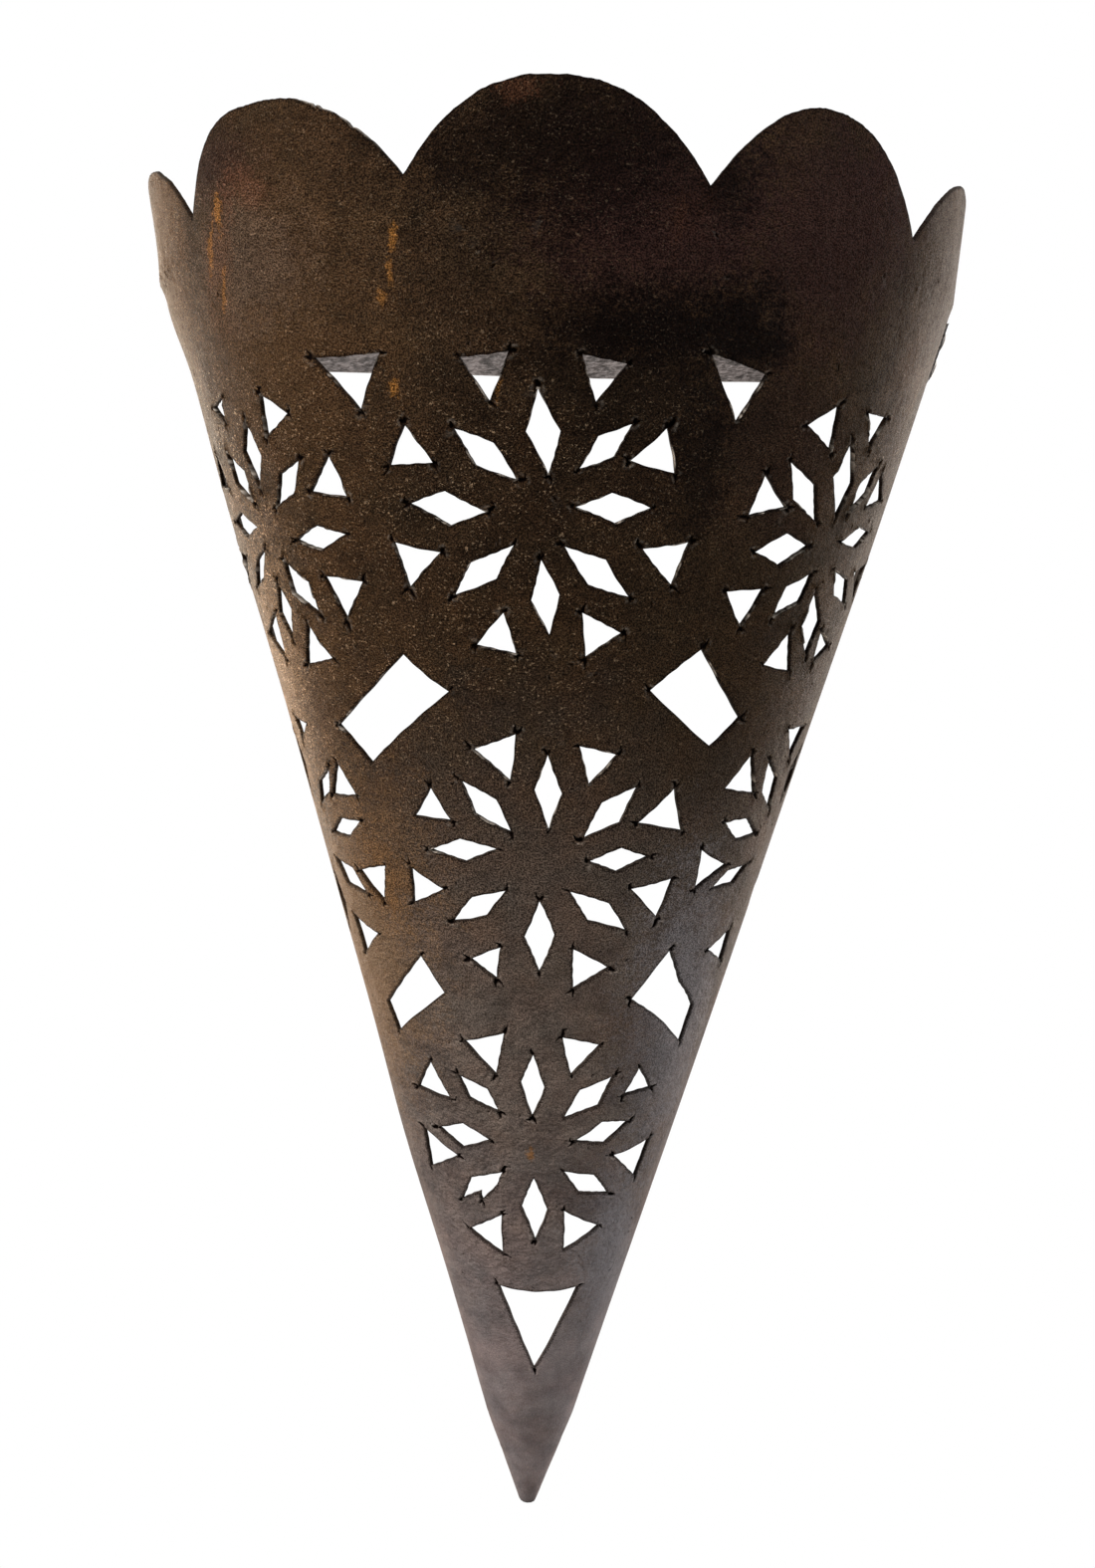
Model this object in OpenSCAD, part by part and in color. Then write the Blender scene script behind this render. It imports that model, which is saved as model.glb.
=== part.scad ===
// Half-cone wall sconce of pierced sheet iron, held by a flat strap riveted across its open back.
// Millimetres. The wall is the plane y = 0, the front faces -Y and +Z is up.
// The origin is on the wall, midway between the strap's two screw holes.

/* [Shade] */
// Half-angle of the cone
cone_half_angle = 16.3; // [13:0.1:19]
// Thickness of the sheet iron
sheet_t = 1.2; // [0.8:0.1:2]
// Height of the blunt lower end above the cone's own point
tip_h = 20; // [14:1:30]
// Inner radius of the blunt lower end
tip_inner_r = 1.4; // [1:0.1:2]
// Height above the cone's own point where the lower end starts to narrow faster
tip_taper_h = 55; // [45:1:70]

/* [Crown] */
// Number of petals round the rim
petal_count = 5; // [4:1:8]
// Lean of the crown from upright, above the strap
crown_lean = 7; // [4:0.5:14]
// Height of the notches between petals above the strap's top edge
notch_rise = 11; // [6:1:20]
// Height of the petal tips above the notches
petal_rise = 25; // [18:1:32]

/* [Rosettes] */
// Distance along the sheet from the cone's point to the top row of rosettes
top_row = 389; // [380:1:396]
// How much lower the outer rosettes of the top row sit
top_row_drop = 5; // [0:1:10]
// Distance along the sheet from the cone's point to the middle row
middle_row = 281; // [276:1:286]
// Distance along the sheet from the cone's point to the lowest rosette
lowest_row = 178.5; // [174:0.5:183]
// Distance round the sheet between the rosettes of a row
row_step = 99; // [96:1:104]
// Turn of the outer rosettes, inwards in the top row and outwards in the middle row
outer_turn = 7; // [0:1:12]
// Distance from a rosette's centre to the middle of its rhombs
rhomb_ring = 24.3; // [23.5:0.1:25]
// Length of a rhomb
rhomb_len = 21.4; // [18:0.2:22]
// Width of a rhomb
rhomb_w = 7.6; // [6:0.2:8.4]
// Distance from a rosette's centre to the outer side of its triangles
triangle_ring = 43.3; // [42.5:0.1:44.5]
// Height of a triangle
triangle_h = 11.4; // [9:0.2:12]
// Width of a triangle's outer side
triangle_w = 12.6; // [10:0.2:14]

/* [Windows] */
// Length of the slanted windows between the top and middle rows
upper_window_len = 34; // [28:1:36]
// Width of those windows
upper_window_w = 17.4; // [14:0.2:19]
// Length of the slanted windows between the middle and lowest rows
lower_window_len = 31; // [26:1:33]
// Width of those windows at their inner end
lower_window_w = 16.6; // [13:0.2:18]
// Width of those windows at their outer end
lower_window_end_w = 11.8; // [9:0.2:14]
// Turn of the slanted windows from upright
window_turn = 50; // [44:1:56]
// Distance along the sheet to the level side of the top triangles
top_window_row = 429; // [426:1:432]
// Width of the top triangles
top_window_w = 20.5; // [16:0.5:23]
// Height of the top triangles
top_window_h = 14; // [11:0.5:16]
// Distance along the sheet to the level side of the bottom triangle
bottom_window_row = 117; // [112:1:122]
// Width of the bottom triangle
bottom_window_w = 25.6; // [20:0.2:28]
// Height of the bottom triangle
bottom_window_h = 30; // [25:1:33]
// Least distance from a hole's middle to the back edge of the sheet
edge_margin = 10; // [8:0.5:14]

/* [Strap] */
// Width of the flat strap
strap_w = 19; // [16:0.5:24]
// Thickness of the flat strap
strap_t = 1.5; // [1:0.1:3]
// Height of the strap's middle above the cone's own point
strap_h = 437; // [430:1:450]
// Length of the strap's bent ends along the outside of the sheet
lap_len = 14; // [11:0.5:20]
// Gap between the sheet and the strap's bent ends
lap_gap = 0.1; // [0.05:0.05:0.3]

/* [Rivets] */
// Diameter of a rivet's shank
rivet_d = 3; // [2:0.1:4]
// Gap all round a shank in its holes
rivet_gap = 0.1; // [0.05:0.05:0.2]
// Diameter of a rivet's domed head
head_d = 6.2; // [5:0.1:7]
// Height of a rivet's domed head
head_h = 1.5; // [1:0.1:2]
// Diameter of a rivet's flattened inner end
tail_d = 5.2; // [4.6:0.1:6]
// Height of a rivet's flattened inner end
tail_h = 0.9; // [0.6:0.1:1.4]
// Gap under the head and the flattened end, which sit flat on a curved sheet
seat_gap = 0.06; // [0.06:0.01:0.1]
// Distance between the two rivets of one end
rivet_step = 9; // [7.4:0.1:11]
// Distance from the back edge of the sheet to the rivets
rivet_edge = 6.8; // [5:0.1:8]

/* [Wall screws] */
// Distance between the strap's two screw holes
screw_step = 80; // [40:1:140]
// Diameter of a screw hole
screw_hole_d = 5; // [3:0.1:6.5]

/* [Hidden] */
$fn = 96;
IRON = [0.27, 0.22, 0.18];
STRAP_IRON = [0.36, 0.33, 0.31];
RIVET_IRON = [0.22, 0.19, 0.17];

// Cutters reach this far past what they cut
cut_over = 6;

// The cone, from its own point upwards: radius of the outer face at a height
function cone_r(h) = h * tan(cone_half_angle);
// The sheet's and the strap's thickness measured level
sheet_run = sheet_t / cos(cone_half_angle);
strap_run = strap_t / cos(cone_half_angle);
lap_run = lap_gap / cos(cone_half_angle);

// Heights above the cone's point, and the crown's radii
crease_h = strap_h + strap_w / 2;
notch_h = crease_h + notch_rise;
petal_top_h = notch_h + petal_rise;
function crown_r(h) = cone_r(crease_h) + (h - crease_h) * tan(crown_lean);
rim_r = crown_r(petal_top_h);

// A petal is a round-topped tongue whose sides come down to the notches
petal_angle = 180 / petal_count;
petal_half_w = crown_r(notch_h) * sin(petal_angle / 2);
petal_r = (petal_half_w * petal_half_w + petal_rise * petal_rise) / (2 * petal_rise);
// The petals' round cutters start inside the sheet, and their ring ends past its back edges
petal_start_r = crown_r(notch_h) * cos(petal_angle / 2) - 2 * cut_over;
gap_over = 5;

// Angles round the cone, from the middle of the front
function arc_angle(arc, h) = arc / cone_r(h) * 180 / PI;
lap_angle = arc_angle(lap_len, strap_h);
rivet_angle = 90 - arc_angle(rivet_edge, strap_h);

// The windows stand halfway between the rosettes
upper_window_row = (top_row + middle_row) / 2;
lower_window_row = (middle_row + lowest_row) / 2;

// Outside of the strap's bent ends, and the dome of a rivet's head
strap_top_r = cone_r(strap_h + strap_w / 2) + lap_run + strap_run;
strap_low_r = cone_r(strap_h - strap_w / 2) + lap_run + strap_run;
head_seat = lap_gap + strap_t + seat_gap;
head_r = (head_d * head_d / 4 + head_h * head_h) / (2 * head_h);
tail_seat = sheet_t + seat_gap;

// The cone's own point is the origin of its children, with the sheet's back edges at y = 0
module cone_frame()
    translate([0, -strap_t, -strap_h])
        children();

// Puts children on the sheet's outer face: x to the right, y up the slope, z outwards
module on_sheet(row, angle)
    rotate([0, 0, angle])
        translate([0, -row * sin(cone_half_angle), row * cos(cone_half_angle)])
            rotate([90 + cone_half_angle, 0, 0])
                children();

// Angle round the cone of a place that lies an arc's length from the middle of its row
function row_angle(row, arc) = arc_angle(arc, row * cos(cone_half_angle));

// The largest angle a hole may have in a row, so that it stays inside the back edge
function edge_angle(row) = 90 - row_angle(row, edge_margin);

module cut_through()
    translate([0, 0, -sheet_t - cut_over])
        linear_extrude(sheet_t + 2 * cut_over)
            children();

module rhomb()
    polygon([[0, -rhomb_len / 2], [rhomb_w / 2, 0], [0, rhomb_len / 2], [-rhomb_w / 2, 0]]);

module triangle(w, h)
    polygon([[0, -h], [w / 2, 0], [-w / 2, 0]]);

module window(len, inner_w, outer_w)
    polygon([[-inner_w / 2, len / 2], [-outer_w / 2, -len / 2],
             [outer_w / 2, -len / 2], [inner_w / 2, len / 2]]);

// One ring of eight holes about a rosette's centre. The ring is laid out on the flat sheet,
// where a place is a distance from the cone's point and a share of the turn round the cone.
module hole_ring(row, angle, ring, first)
    for (k = [0:7]) {
        turn = first + 45 * k;
        up = row + ring * cos(turn);
        side = ring * sin(turn);
        flat_angle = atan2(side, up);
        hole_row = norm([up, side]);
        hole_angle = angle + flat_angle / sin(cone_half_angle);
        if (abs(hole_angle) < edge_angle(hole_row))
            on_sheet(hole_row, hole_angle)
                rotate([0, 0, flat_angle - turn])
                    cut_through()
                        children();
    }

module rosette(row, angle, turn) {
    hole_ring(row, angle, rhomb_ring, turn)
        rhomb();
    hole_ring(row, angle, triangle_ring, turn + 22.5)
        triangle(triangle_w, triangle_h);
}

module rosettes() {
    rosette(top_row, 0, 0);
    rosette(middle_row, 0, 0);
    rosette(lowest_row, 0, 0);
    for (side = [-1, 1]) {
        outer_row = top_row - top_row_drop;
        rosette(outer_row, side * row_angle(outer_row, row_step), -side * outer_turn);
        rosette(middle_row, side * row_angle(middle_row, row_step), side * outer_turn);
    }
}

module slanted_window(row, side)
    on_sheet(row, side * row_angle(row, row_step / 2))
        rotate([0, 0, side * window_turn])
            cut_through()
                children();

module windows() {
    for (side = [-1, 1]) {
        slanted_window(upper_window_row, side)
            window(upper_window_len, upper_window_w, upper_window_w);
        slanted_window(lower_window_row, side)
            window(lower_window_len, lower_window_w, lower_window_end_w);
        on_sheet(top_window_row, side * row_angle(top_window_row, row_step / 2))
            cut_through()
                triangle(top_window_w, top_window_h);
    }
    on_sheet(bottom_window_row, 0)
        cut_through()
            triangle(bottom_window_w, bottom_window_h);
}

// The bent sheet before it is pierced and its rim is cut
module bent_sheet()
    rotate_extrude(angle = 180, start = 180)
        polygon([
            [tip_inner_r, tip_h],
            [tip_inner_r + sheet_run, tip_h],
            [cone_r(tip_taper_h), tip_taper_h],
            [cone_r(crease_h), crease_h],
            [rim_r, petal_top_h],
            [rim_r - sheet_run, petal_top_h],
            [cone_r(crease_h) - sheet_run, crease_h],
            [cone_r(tip_taper_h) - sheet_run, tip_taper_h]
        ]);

// What is cut away between the petals: a ring above the notches, less the round petals themselves
module rim_gaps()
    difference() {
        rotate_extrude(angle = 180 + 2 * gap_over, start = 180 - gap_over)
            translate([crown_r(notch_h) - cut_over, notch_h])
                square([rim_r - crown_r(notch_h) + 2 * cut_over, petal_rise + cut_over]);
        for (k = [0:petal_count - 1])
            rotate([0, 0, petal_angle * (k + 0.5) - 90])
                translate([0, -petal_start_r, petal_top_h - petal_r])
                    rotate([90, 0, 0])
                        cylinder(r = petal_r, h = rim_r + 2 * cut_over - petal_start_r);
    }

// Puts children on a rivet's own axis, with z outwards and zero on the sheet's outer face
module at_rivet(side, level)
    cone_frame()
        on_sheet((strap_h + level * rivet_step / 2) / cos(cone_half_angle), side * rivet_angle)
            children();

module rivet_holes()
    for (side = [-1, 1])
        for (level = [-1, 1])
            at_rivet(side, level)
                translate([0, 0, -sheet_t - cut_over])
                    cylinder(d = rivet_d + 2 * rivet_gap, h = sheet_t + strap_t + 2 * cut_over);

module pierced_shade()
    color(IRON)
        difference() {
            cone_frame()
                bent_sheet();
            cone_frame()
                rim_gaps();
            cone_frame()
                rosettes();
            cone_frame()
                windows();
            rivet_holes();
        }

// The straight run of the strap, cut to the slope of the sheet's back edges
module strap_bar()
    rotate([90, 0, 0])
        linear_extrude(strap_t)
            polygon([[-strap_low_r, -strap_w / 2], [strap_low_r, -strap_w / 2],
                     [strap_top_r, strap_w / 2], [-strap_top_r, strap_w / 2]]);

// One bent end of the strap, lying on the outside of the sheet
module strap_lap(side)
    cone_frame()
        rotate_extrude(angle = lap_angle, start = side < 0 ? 180 : 360 - lap_angle)
            polygon([[strap_low_r - strap_run, strap_h - strap_w / 2],
                     [strap_low_r, strap_h - strap_w / 2],
                     [strap_top_r, strap_h + strap_w / 2],
                     [strap_top_r - strap_run, strap_h + strap_w / 2]]);

module screw_holes()
    for (side = [-1, 1])
        translate([side * screw_step / 2, cut_over, 0])
            rotate([90, 0, 0])
                cylinder(d = screw_hole_d, h = strap_t + 2 * cut_over);

module back_strap()
    color(STRAP_IRON)
        difference() {
            union() {
                strap_bar();
                strap_lap(-1);
                strap_lap(1);
            }
            screw_holes();
            rivet_holes();
        }

module rivet(side, level)
    color(RIVET_IRON)
        at_rivet(side, level) {
            translate([0, 0, -tail_seat - tail_h])
                cylinder(d = tail_d, h = tail_h);
            translate([0, 0, -tail_seat - tail_h])
                cylinder(d = rivet_d, h = tail_h + tail_seat + head_seat + head_h / 2);
            intersection() {
                translate([0, 0, head_seat + head_h - head_r])
                    sphere(r = head_r);
                translate([0, 0, head_seat])
                    cylinder(d = head_d, h = head_h);
            }
        }

module rivet_left_upper()
    rivet(-1, 1);

module rivet_left_lower()
    rivet(-1, -1);

module rivet_right_upper()
    rivet(1, 1);

module rivet_right_lower()
    rivet(1, -1);

pierced_shade();
back_strap();
rivet_left_upper();
rivet_left_lower();
rivet_right_upper();
rivet_right_lower();
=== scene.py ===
"""The looks of a half-cone wall sconce of pierced sheet iron, laid out as an add-on and run as a script.

The frame is in metres: the wall is the plane y = 0, the front faces -Y and +Z is up. The shade is worked
as its maker worked it: laid out and chiselled on a flat sheet, in millimetres, and then bent to the cone.
"""
import math
import random

import bpy
import numpy as np
from bpy.props import FloatProperty, FloatVectorProperty, IntProperty, PointerProperty
from mathutils import Matrix, Vector, geometry, kdtree, noise


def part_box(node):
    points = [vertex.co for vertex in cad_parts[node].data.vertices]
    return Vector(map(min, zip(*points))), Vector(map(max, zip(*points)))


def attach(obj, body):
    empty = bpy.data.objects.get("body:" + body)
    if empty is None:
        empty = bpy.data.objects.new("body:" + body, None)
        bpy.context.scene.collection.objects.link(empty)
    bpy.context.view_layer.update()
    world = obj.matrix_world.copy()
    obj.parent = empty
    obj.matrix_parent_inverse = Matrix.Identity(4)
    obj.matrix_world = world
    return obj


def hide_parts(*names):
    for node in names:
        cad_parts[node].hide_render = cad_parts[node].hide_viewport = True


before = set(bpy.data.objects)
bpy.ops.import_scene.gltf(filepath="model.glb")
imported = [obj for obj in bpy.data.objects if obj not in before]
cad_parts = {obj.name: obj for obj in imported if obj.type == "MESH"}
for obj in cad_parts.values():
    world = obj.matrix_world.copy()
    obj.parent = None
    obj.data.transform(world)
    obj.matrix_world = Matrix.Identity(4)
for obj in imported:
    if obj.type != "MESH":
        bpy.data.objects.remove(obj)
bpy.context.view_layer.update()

bl_info = {
    "name": "Pierced Iron Sconce",
    "version": (1, 0, 0),
    "blender": (4, 5, 0),
    "location": "View3D > Sidebar > Sconce",
    "description": "Builds a pierced sheet iron wall sconce round its measured frame",
    "category": "Object",
}

MM = 0.001
SHADE_LOW, SHADE_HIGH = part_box("pierced_shade")
STRAP_LOW, STRAP_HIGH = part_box("back_strap")

# The cone's own point lies this far under the blunt lower end
TIP_RISE = 20 * MM
POINT_Z = SHADE_LOW.z - TIP_RISE
AXIS_Y = SHADE_HIGH.y
CREASE_H = STRAP_HIGH.z - POINT_Z
STRAP_MIDDLE_H = (STRAP_LOW.z + STRAP_HIGH.z) / 2 - POINT_Z
CONE_SLANT = math.radians(16.3)

# The photograph's camera: its place in metres, its turn in degrees and its sensor's width in millimetres
EYE = Vector((0.0115, -0.5499, -0.0967))
EYE_TURN = (84.34, -1.54, 1.325)
SENSOR_WIDTH = 36

# Rosettes on the flat sheet: distance from the cone's point, place round the row, and for its eight rhombs
# and eight triangles the ring they sit on, how far round they stray and how they are turned or sized.
# Millimetres and degrees, clockwise from straight up the sheet.
ROSETTES = (
    {"row": 388.6, "arc": -1.5,
     "rhomb_ring": (22.5, 25.8, 20.5, 23.5, 24.5, 23.5, 26.5, 22.3),
     "rhomb_stray": (1, -1, -4, 1, -4, -2, 0, 0),
     "rhomb_turn": (-9, 6, 5, -8, -3, 5, 2, -8),
     "rhomb_len": (22.5, 18.4, 21, 23, 21, 22, 22, 21.5),
     "rhomb_w": (9.3, 6.8, 8.2, 8.4, 8, 8, 9.3, 7.6),
     "tri_ring": (41.5, 36.4, 39.5, 39, 38.5, 40.5, 41, 41.5),
     "tri_stray": (0.5, -4, -2.3, -2.8, -5, -1, -0.7, 0.5),
     "tri_turn": (-12, 14, 2, -8, -8, 2, 0, 14),
     "tri_size": (0.94, 0.97, 1, 0.94, 0.9, 1.06, 0.94, 1.02)},
    {"row": 280.6, "arc": 1,
     "rhomb_ring": (23.5, 26.3, 23.8, 24.6, 25, 25.5, 25, 25),
     "rhomb_stray": (3, 6.5, -1, -1.5, 1, 5, 5, 0),
     "rhomb_turn": (-5, -5, 0, -5, -2, 3, -13, -2),
     "rhomb_len": (22.8, 22.4, 18.5, 22.4, 23.2, 20, 21.4, 21.2),
     "rhomb_w": (8.1, 8.4, 7.3, 8, 9.2, 7, 7.2, 7.6),
     "tri_ring": (36.5, 40.9, 38.8, 39.4, 39, 41.5, 38, 37.4),
     "tri_stray": (2, 2.6, -2, 1.2, 2, 3.6, 0, 1),
     "tri_turn": (-10, 8, 2, -8, 8, 14, 4, -2),
     "tri_size": (0.89, 1.15, 1.05, 0.97, 0.77, 0.92, 0.88, 1.06)},
    {"row": 178, "arc": -0.3,
     "rhomb_ring": (23, 25.2, 23.9, 25.2, 25.5, 26, 24.5, 25.5),
     "rhomb_stray": (-1, 2, -6, -2.5, -2, -3, -2, -2),
     "rhomb_turn": (1, 5, -5, -6, 0, 7, -1, -7),
     "rhomb_len": (21.4, 21.4, 19.4, 19, 23, 19, 19.4, 17.4),
     "rhomb_w": (7.5, 8.6, 7.6, 7.4, 8.5, 7, 9, 6.7),
     "tri_ring": (37.8, 40.5, 39, 38.5, 40.4, 38, 39.7, 38),
     "tri_stray": (-0.3, -4, -4, -0.9, -2, 4, 0.5, -1.5),
     "tri_turn": (-6, 0, 6, -4, 4, 8, 2, 4),
     "tri_size": (0.98, 0.76, 1.12, 1.13, 1.1, 1.15, 1.04, 1.1)},
    {"row": 383.7, "arc": -101.3,
     "rhomb_ring": (24.5, 23, 27.5, 21.5, 25, 18, 18.2, 20.5),
     "rhomb_stray": (8, 8.5, 7, 11, 4, 5, 9, 16),
     "rhomb_turn": (-4, -3, -6, 3, -9, 0, -3, 0),
     "rhomb_len": (20.4, 19, 20, 20, 18, 18, 18.5, 18.5),
     "rhomb_w": (8.4, 7.3, 7, 8.8, 6.4, 5.4, 7.8, 7.6),
     "tri_ring": (39.1, 39, 37.8, 38.8, 36.8, 38, 38, 41),
     "tri_stray": (7, 4, 10.5, 5.8, 2.6, 7, 7, 5),
     "tri_turn": (6, 4, 8, 10, 6, 0, 4, 0),
     "tri_size": (0.9, 1, 1.08, 1, 1.15, 0.95, 0.95, 0.5)},
    {"row": 384, "arc": 99.8,
     "rhomb_ring": (20.5, 21.4, 17, 21, 25, 20.2, 23.3, 25.6),
     "rhomb_stray": (-12, -16.5, -12, -7, -6, -8, -8, -11),
     "rhomb_turn": (4, 0, 0, -3, -7, 1, -4, 7),
     "rhomb_len": (23, 17, 18, 19.4, 21, 18.5, 20.4, 23),
     "rhomb_w": (9.7, 5.8, 6.8, 7.7, 9.2, 8.2, 9.4, 8.6),
     "tri_ring": (37.8, 29, 37, 35.8, 36.6, 38.5, 36.8, 39.5),
     "tri_stray": (-15, -15.5, -6, -3, -9, -10, -6.5, -8.5),
     "tri_turn": (-8, -4, 0, -6, -8, -8, -8, -6),
     "tri_size": (0.8, 0.9, 0.95, 0.74, 1, 0.95, 0.96, 0.96)},
    {"row": 281.5, "arc": -99,
     "rhomb_ring": (24, 27, 27.5, 24, 24, 24, 24, 24),
     "rhomb_stray": (-5, 4, -8, -11, -5, -5, -5, -5),
     "rhomb_turn": (0, -4, -3, 4, 0, 3, -3, 0),
     "rhomb_len": (20, 17, 18, 19, 20, 20, 20, 20),
     "rhomb_w": (7, 6.2, 6.2, 8, 7, 7, 7, 7),
     "tri_ring": (40, 38.2, 38.7, 38.8, 38, 38, 38, 38),
     "tri_stray": (-3, -6.7, -1, -6, -5, -5, -5, -5),
     "tri_turn": (0, 4, 2, -6, 0, 4, -4, 0),
     "tri_size": (0.65, 0.96, 0.98, 1.02, 1, 1, 1, 1)},
    {"row": 282, "arc": 96,
     "rhomb_ring": (24, 24, 24, 24, 24, 24, 26, 27.4),
     "rhomb_stray": (9, 1, -12, -25, -33, 20.8, 15.7, 9),
     "rhomb_turn": (0, 3, -3, 0, 4, -6, -6, 5),
     "rhomb_len": (19, 20, 20, 20, 19, 17, 19, 19),
     "rhomb_w": (7, 7, 7, 7, 7, 6, 7.3, 8.2),
     "tri_ring": (38, 38, 38, 38, 37.5, 36.5, 41, 39),
     "tri_stray": (8, -5.5, -18.5, -29.5, -4, 11.4, 13.3, 11),
     "tri_turn": (0, 4, -4, 0, 6, 0, -6, 4),
     "tri_size": (0.95, 1, 1, 1, 0.86, 1.02, 1.1, 0.88)},
)
# A triangle of size 1, in millimetres
TRIANGLE_H = 11.8
TRIANGLE_W = 12.8

# A rhomb with a tongue of metal left in it: its rosette, its number, and its corners on the flat sheet
TONGUE_HOLE = (2, 5)
TONGUE_CORNERS = ((-11, 165.3), (-12.5, 160.3), (-17.5, 153.6), (-18, 156.6), (-25, 151.3), (-21.7, 160.8))

# Windows between the rosettes, by their corners on the flat sheet, in millimetres
WINDOWS = (
    ((-43.2, 343.1), (-28.6, 333.6), (-56, 305.8), (-70.2, 314.6)),
    ((48.5, 346.4), (64.9, 322), (54.2, 314.6), (32.6, 335.3)),
    ((-40.3, 241), (-31.5, 230), (-52.2, 207.7), (-57.4, 216.6)),
    ((45.3, 244.5), (51.2, 230), (58.5, 218.5), (54.2, 205.5), (41, 221.8), (31.6, 230)),
    ((-70, 426.8), (-48.4, 429.8), (-54.8, 413.8)),
    ((46, 431.2), (62.6, 425.6), (54.2, 413.2)),
    ((-11.5, 118.5), (16.7, 117.7), (1.6, 85.8)),
)

# The rim's notches between petals, as angles round the cone and heights over its point. Each petal has its
# top's angle and height, and how full its left and right shoulders are: 2 is a parabola.
NOTCHES = ((-90, 458), (-54, 458.3), (-17.5, 459), (18.5, 457.8), (52.4, 456), (90, 457))
PETALS = ((-71, 479.5, 2.6, 2.1), (-38, 482.8, 3.3, 2.3), (0, 482.3, 2.4, 2.35), (34, 482.4, 2.1, 2.25),
          (71.5, 481, 2, 2.6))

# Angle to the left of the middle, in degrees, where a petal's shoulder is chipped and worn bright
CHIPPED_AT = 26

# Bulges of the two sides, as the side, the height over the cone's point, the reach up and down, and the rise
BULGES = ((-1, 441, 13, 1.7), (-1, 378, 40, 1.0), (-1, 160, 40, 1.2), (-1, 245, 60, 0.4), (1, 370, 60, 0.7),
          (1, 220, 110, 0.7))

# Stains on the flat sheet: tint, middle and half size in millimetres, turn in degrees, raggedness, strength
STAINS = (
    ("plum", (84, 462), (46, 44), 0, 0.5, 0.8),
    ("plum", (22, 466), (44, 26), 0, 0.7, 0.5),
    ("plum", (70, 405), (34, 40), 0, 0.6, 0.35),
    ("tan", (-52, 266), (16, 15), -35, 0.8, 0.6),
    ("tan", (-124, 376), (13, 26), 15, 0.9, 0.5),
    ("tan", (-60, 330), (40, 40), 0, 0.9, 0.25),
    ("tan", (-88, 425), (50, 80), 0, 0.7, 0.42),
    ("taupe", (-98, 452), (34, 26), 0, 0.9, 0.22),
    ("plum", (-112, 478), (26, 14), 0, 0.9, 0.5),
    ("tan", (-88, 320), (34, 70), 0, 0.7, 0.5),
    ("sand", (-70, 235), (42, 75), 0, 0.7, 0.7),
    ("sand", (-108, 318), (26, 66), 0, 0.8, 0.75),
    # The next two stains, at the crown's two back edges, are partly painted sheen along the outline
    ("tan", (-150, 455), (26, 62), 0, 0.7, 0.5),
    ("taupe", (150, 450), (26, 62), 0, 0.7, 0.35),
    ("plum", (114, 482), (30, 30), 0, 0.6, 0.7),
    ("tan", (-56, 278), (34, 36), 0, 0.8, 0.4),
    ("umber", (48, 325), (36, 52), 0, 0.7, 0.45),
    ("slate", (52, 215), (28, 72), 0, 0.7, 0.7),
    ("slate", (30, 126), (17, 54), 0, 0.7, 0.85),
    ("plum", (30, 470), (42, 42), 0, 0.7, 0.85),
    ("plum", (18, 158), (16, 20), 10, 0.9, 0.3),
    ("plum", (34, 205), (14, 30), 0, 0.9, 0.2),
    ("soot_and_shade", (4, 486), (70, 32), 0, 0.7, 0.85),
    ("soot_and_shade", (24, 425), (50, 34), 0, 0.9, 0.55),
    ("soot_and_shade", (14, 438), (22, 12), 0, 0.8, 0.8),
    ("soot_and_shade", (32, 438), (28, 16), 0, 0.8, 0.95),
    ("soot_and_shade", (54, 441), (20, 14), -10, 0.8, 0.95),
    ("rust", (-9, 499), (8, 4), 0, 1.5, 0.3),
    ("soot_and_shade", (60, 433), (14, 7), 0, 0.7, 0.85),
    ("soot_and_shade", (49, 475), (9, 13), 0, 0.9, 0.75),
    ("soot_and_shade", (44, 402), (12, 30), 0, 0.9, 0.7),
    ("soot_and_shade", (10, 395), (60, 60), 0, 0.9, 0.2),
    ("rust", (-94, 471), (13, 7), 10, 1.1, 0.4),
    ("rust", (-110, 452), (9, 26), 12, 1.2, 0.3),
    ("rust", (36, 467), (10, 10), 0, 1.6, 0.06),
    ("ochre", (-43.4, 460), (1.5, 5), 4, 1.3, 0.8),
    ("ochre", (-44.4, 451), (1.7, 4.6), -6, 1.3, 0.7),
    ("ochre", (-47, 445), (1.6, 2.2), 0, 1.3, 0.6),
    ("tan", (-43, 434), (9, 26), 0, 1.2, 0.2),
    ("ochre", (-109, 463), (2.4, 7), -12, 1.4, 0.7),
    ("ochre", (-113.5, 453), (1.5, 9), 8, 1.4, 0.6),
    ("ochre", (-109, 441), (1.5, 7), 16, 1.4, 0.65),
    ("ochre", (-44, 421), (2.2, 3), 0, 1.3, 0.75),
    ("ochre", (-14, 424), (1.4, 7), 0, 1.4, 0.6),
    ("ochre", (-56, 264), (9, 22), -15, 1.5, 0.16),
    ("ochre", (-1, 174), (1.6, 3), 0, 1.2, 0.65),
    ("rust", (34, 464), (2, 10), 8, 1.5, 0.1),
)

# Rows of the flat sheet, in metres from the cone's point, over which the crown begins
CROWN_ROWS = (0.41, 0.45)

# Gloss of the dull patina and of bare iron
PATINA_GLOSS = 0.02
IRON_GLOSS = 0.5

# Lamps: name, place and size in metres, and tint. All are aimed at one place in the upper half.
LAMPS = (
    ("left", (-1.15, -0.35, 0.25), (0.8, 0.8), (1.0, 1.0, 1.0)),
    ("right", (1.15, -0.25, 0.25), (0.8, 0.8), (0.88, 0.95, 1.0)),
    ("top", (-0.6, -0.9, 0.9), (0.35, 0.35), (1.0, 1.0, 1.0)),
    ("left_rim", (-0.75, 0.85, -0.12), (0.5, 0.9), (1.0, 0.82, 0.64)),
    ("right_rim", (0.75, 0.85, -0.12), (0.5, 0.9), (1.0, 0.87, 0.76)),
)
LAMP_AIM = Vector((0, -0.06, -0.08))


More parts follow.
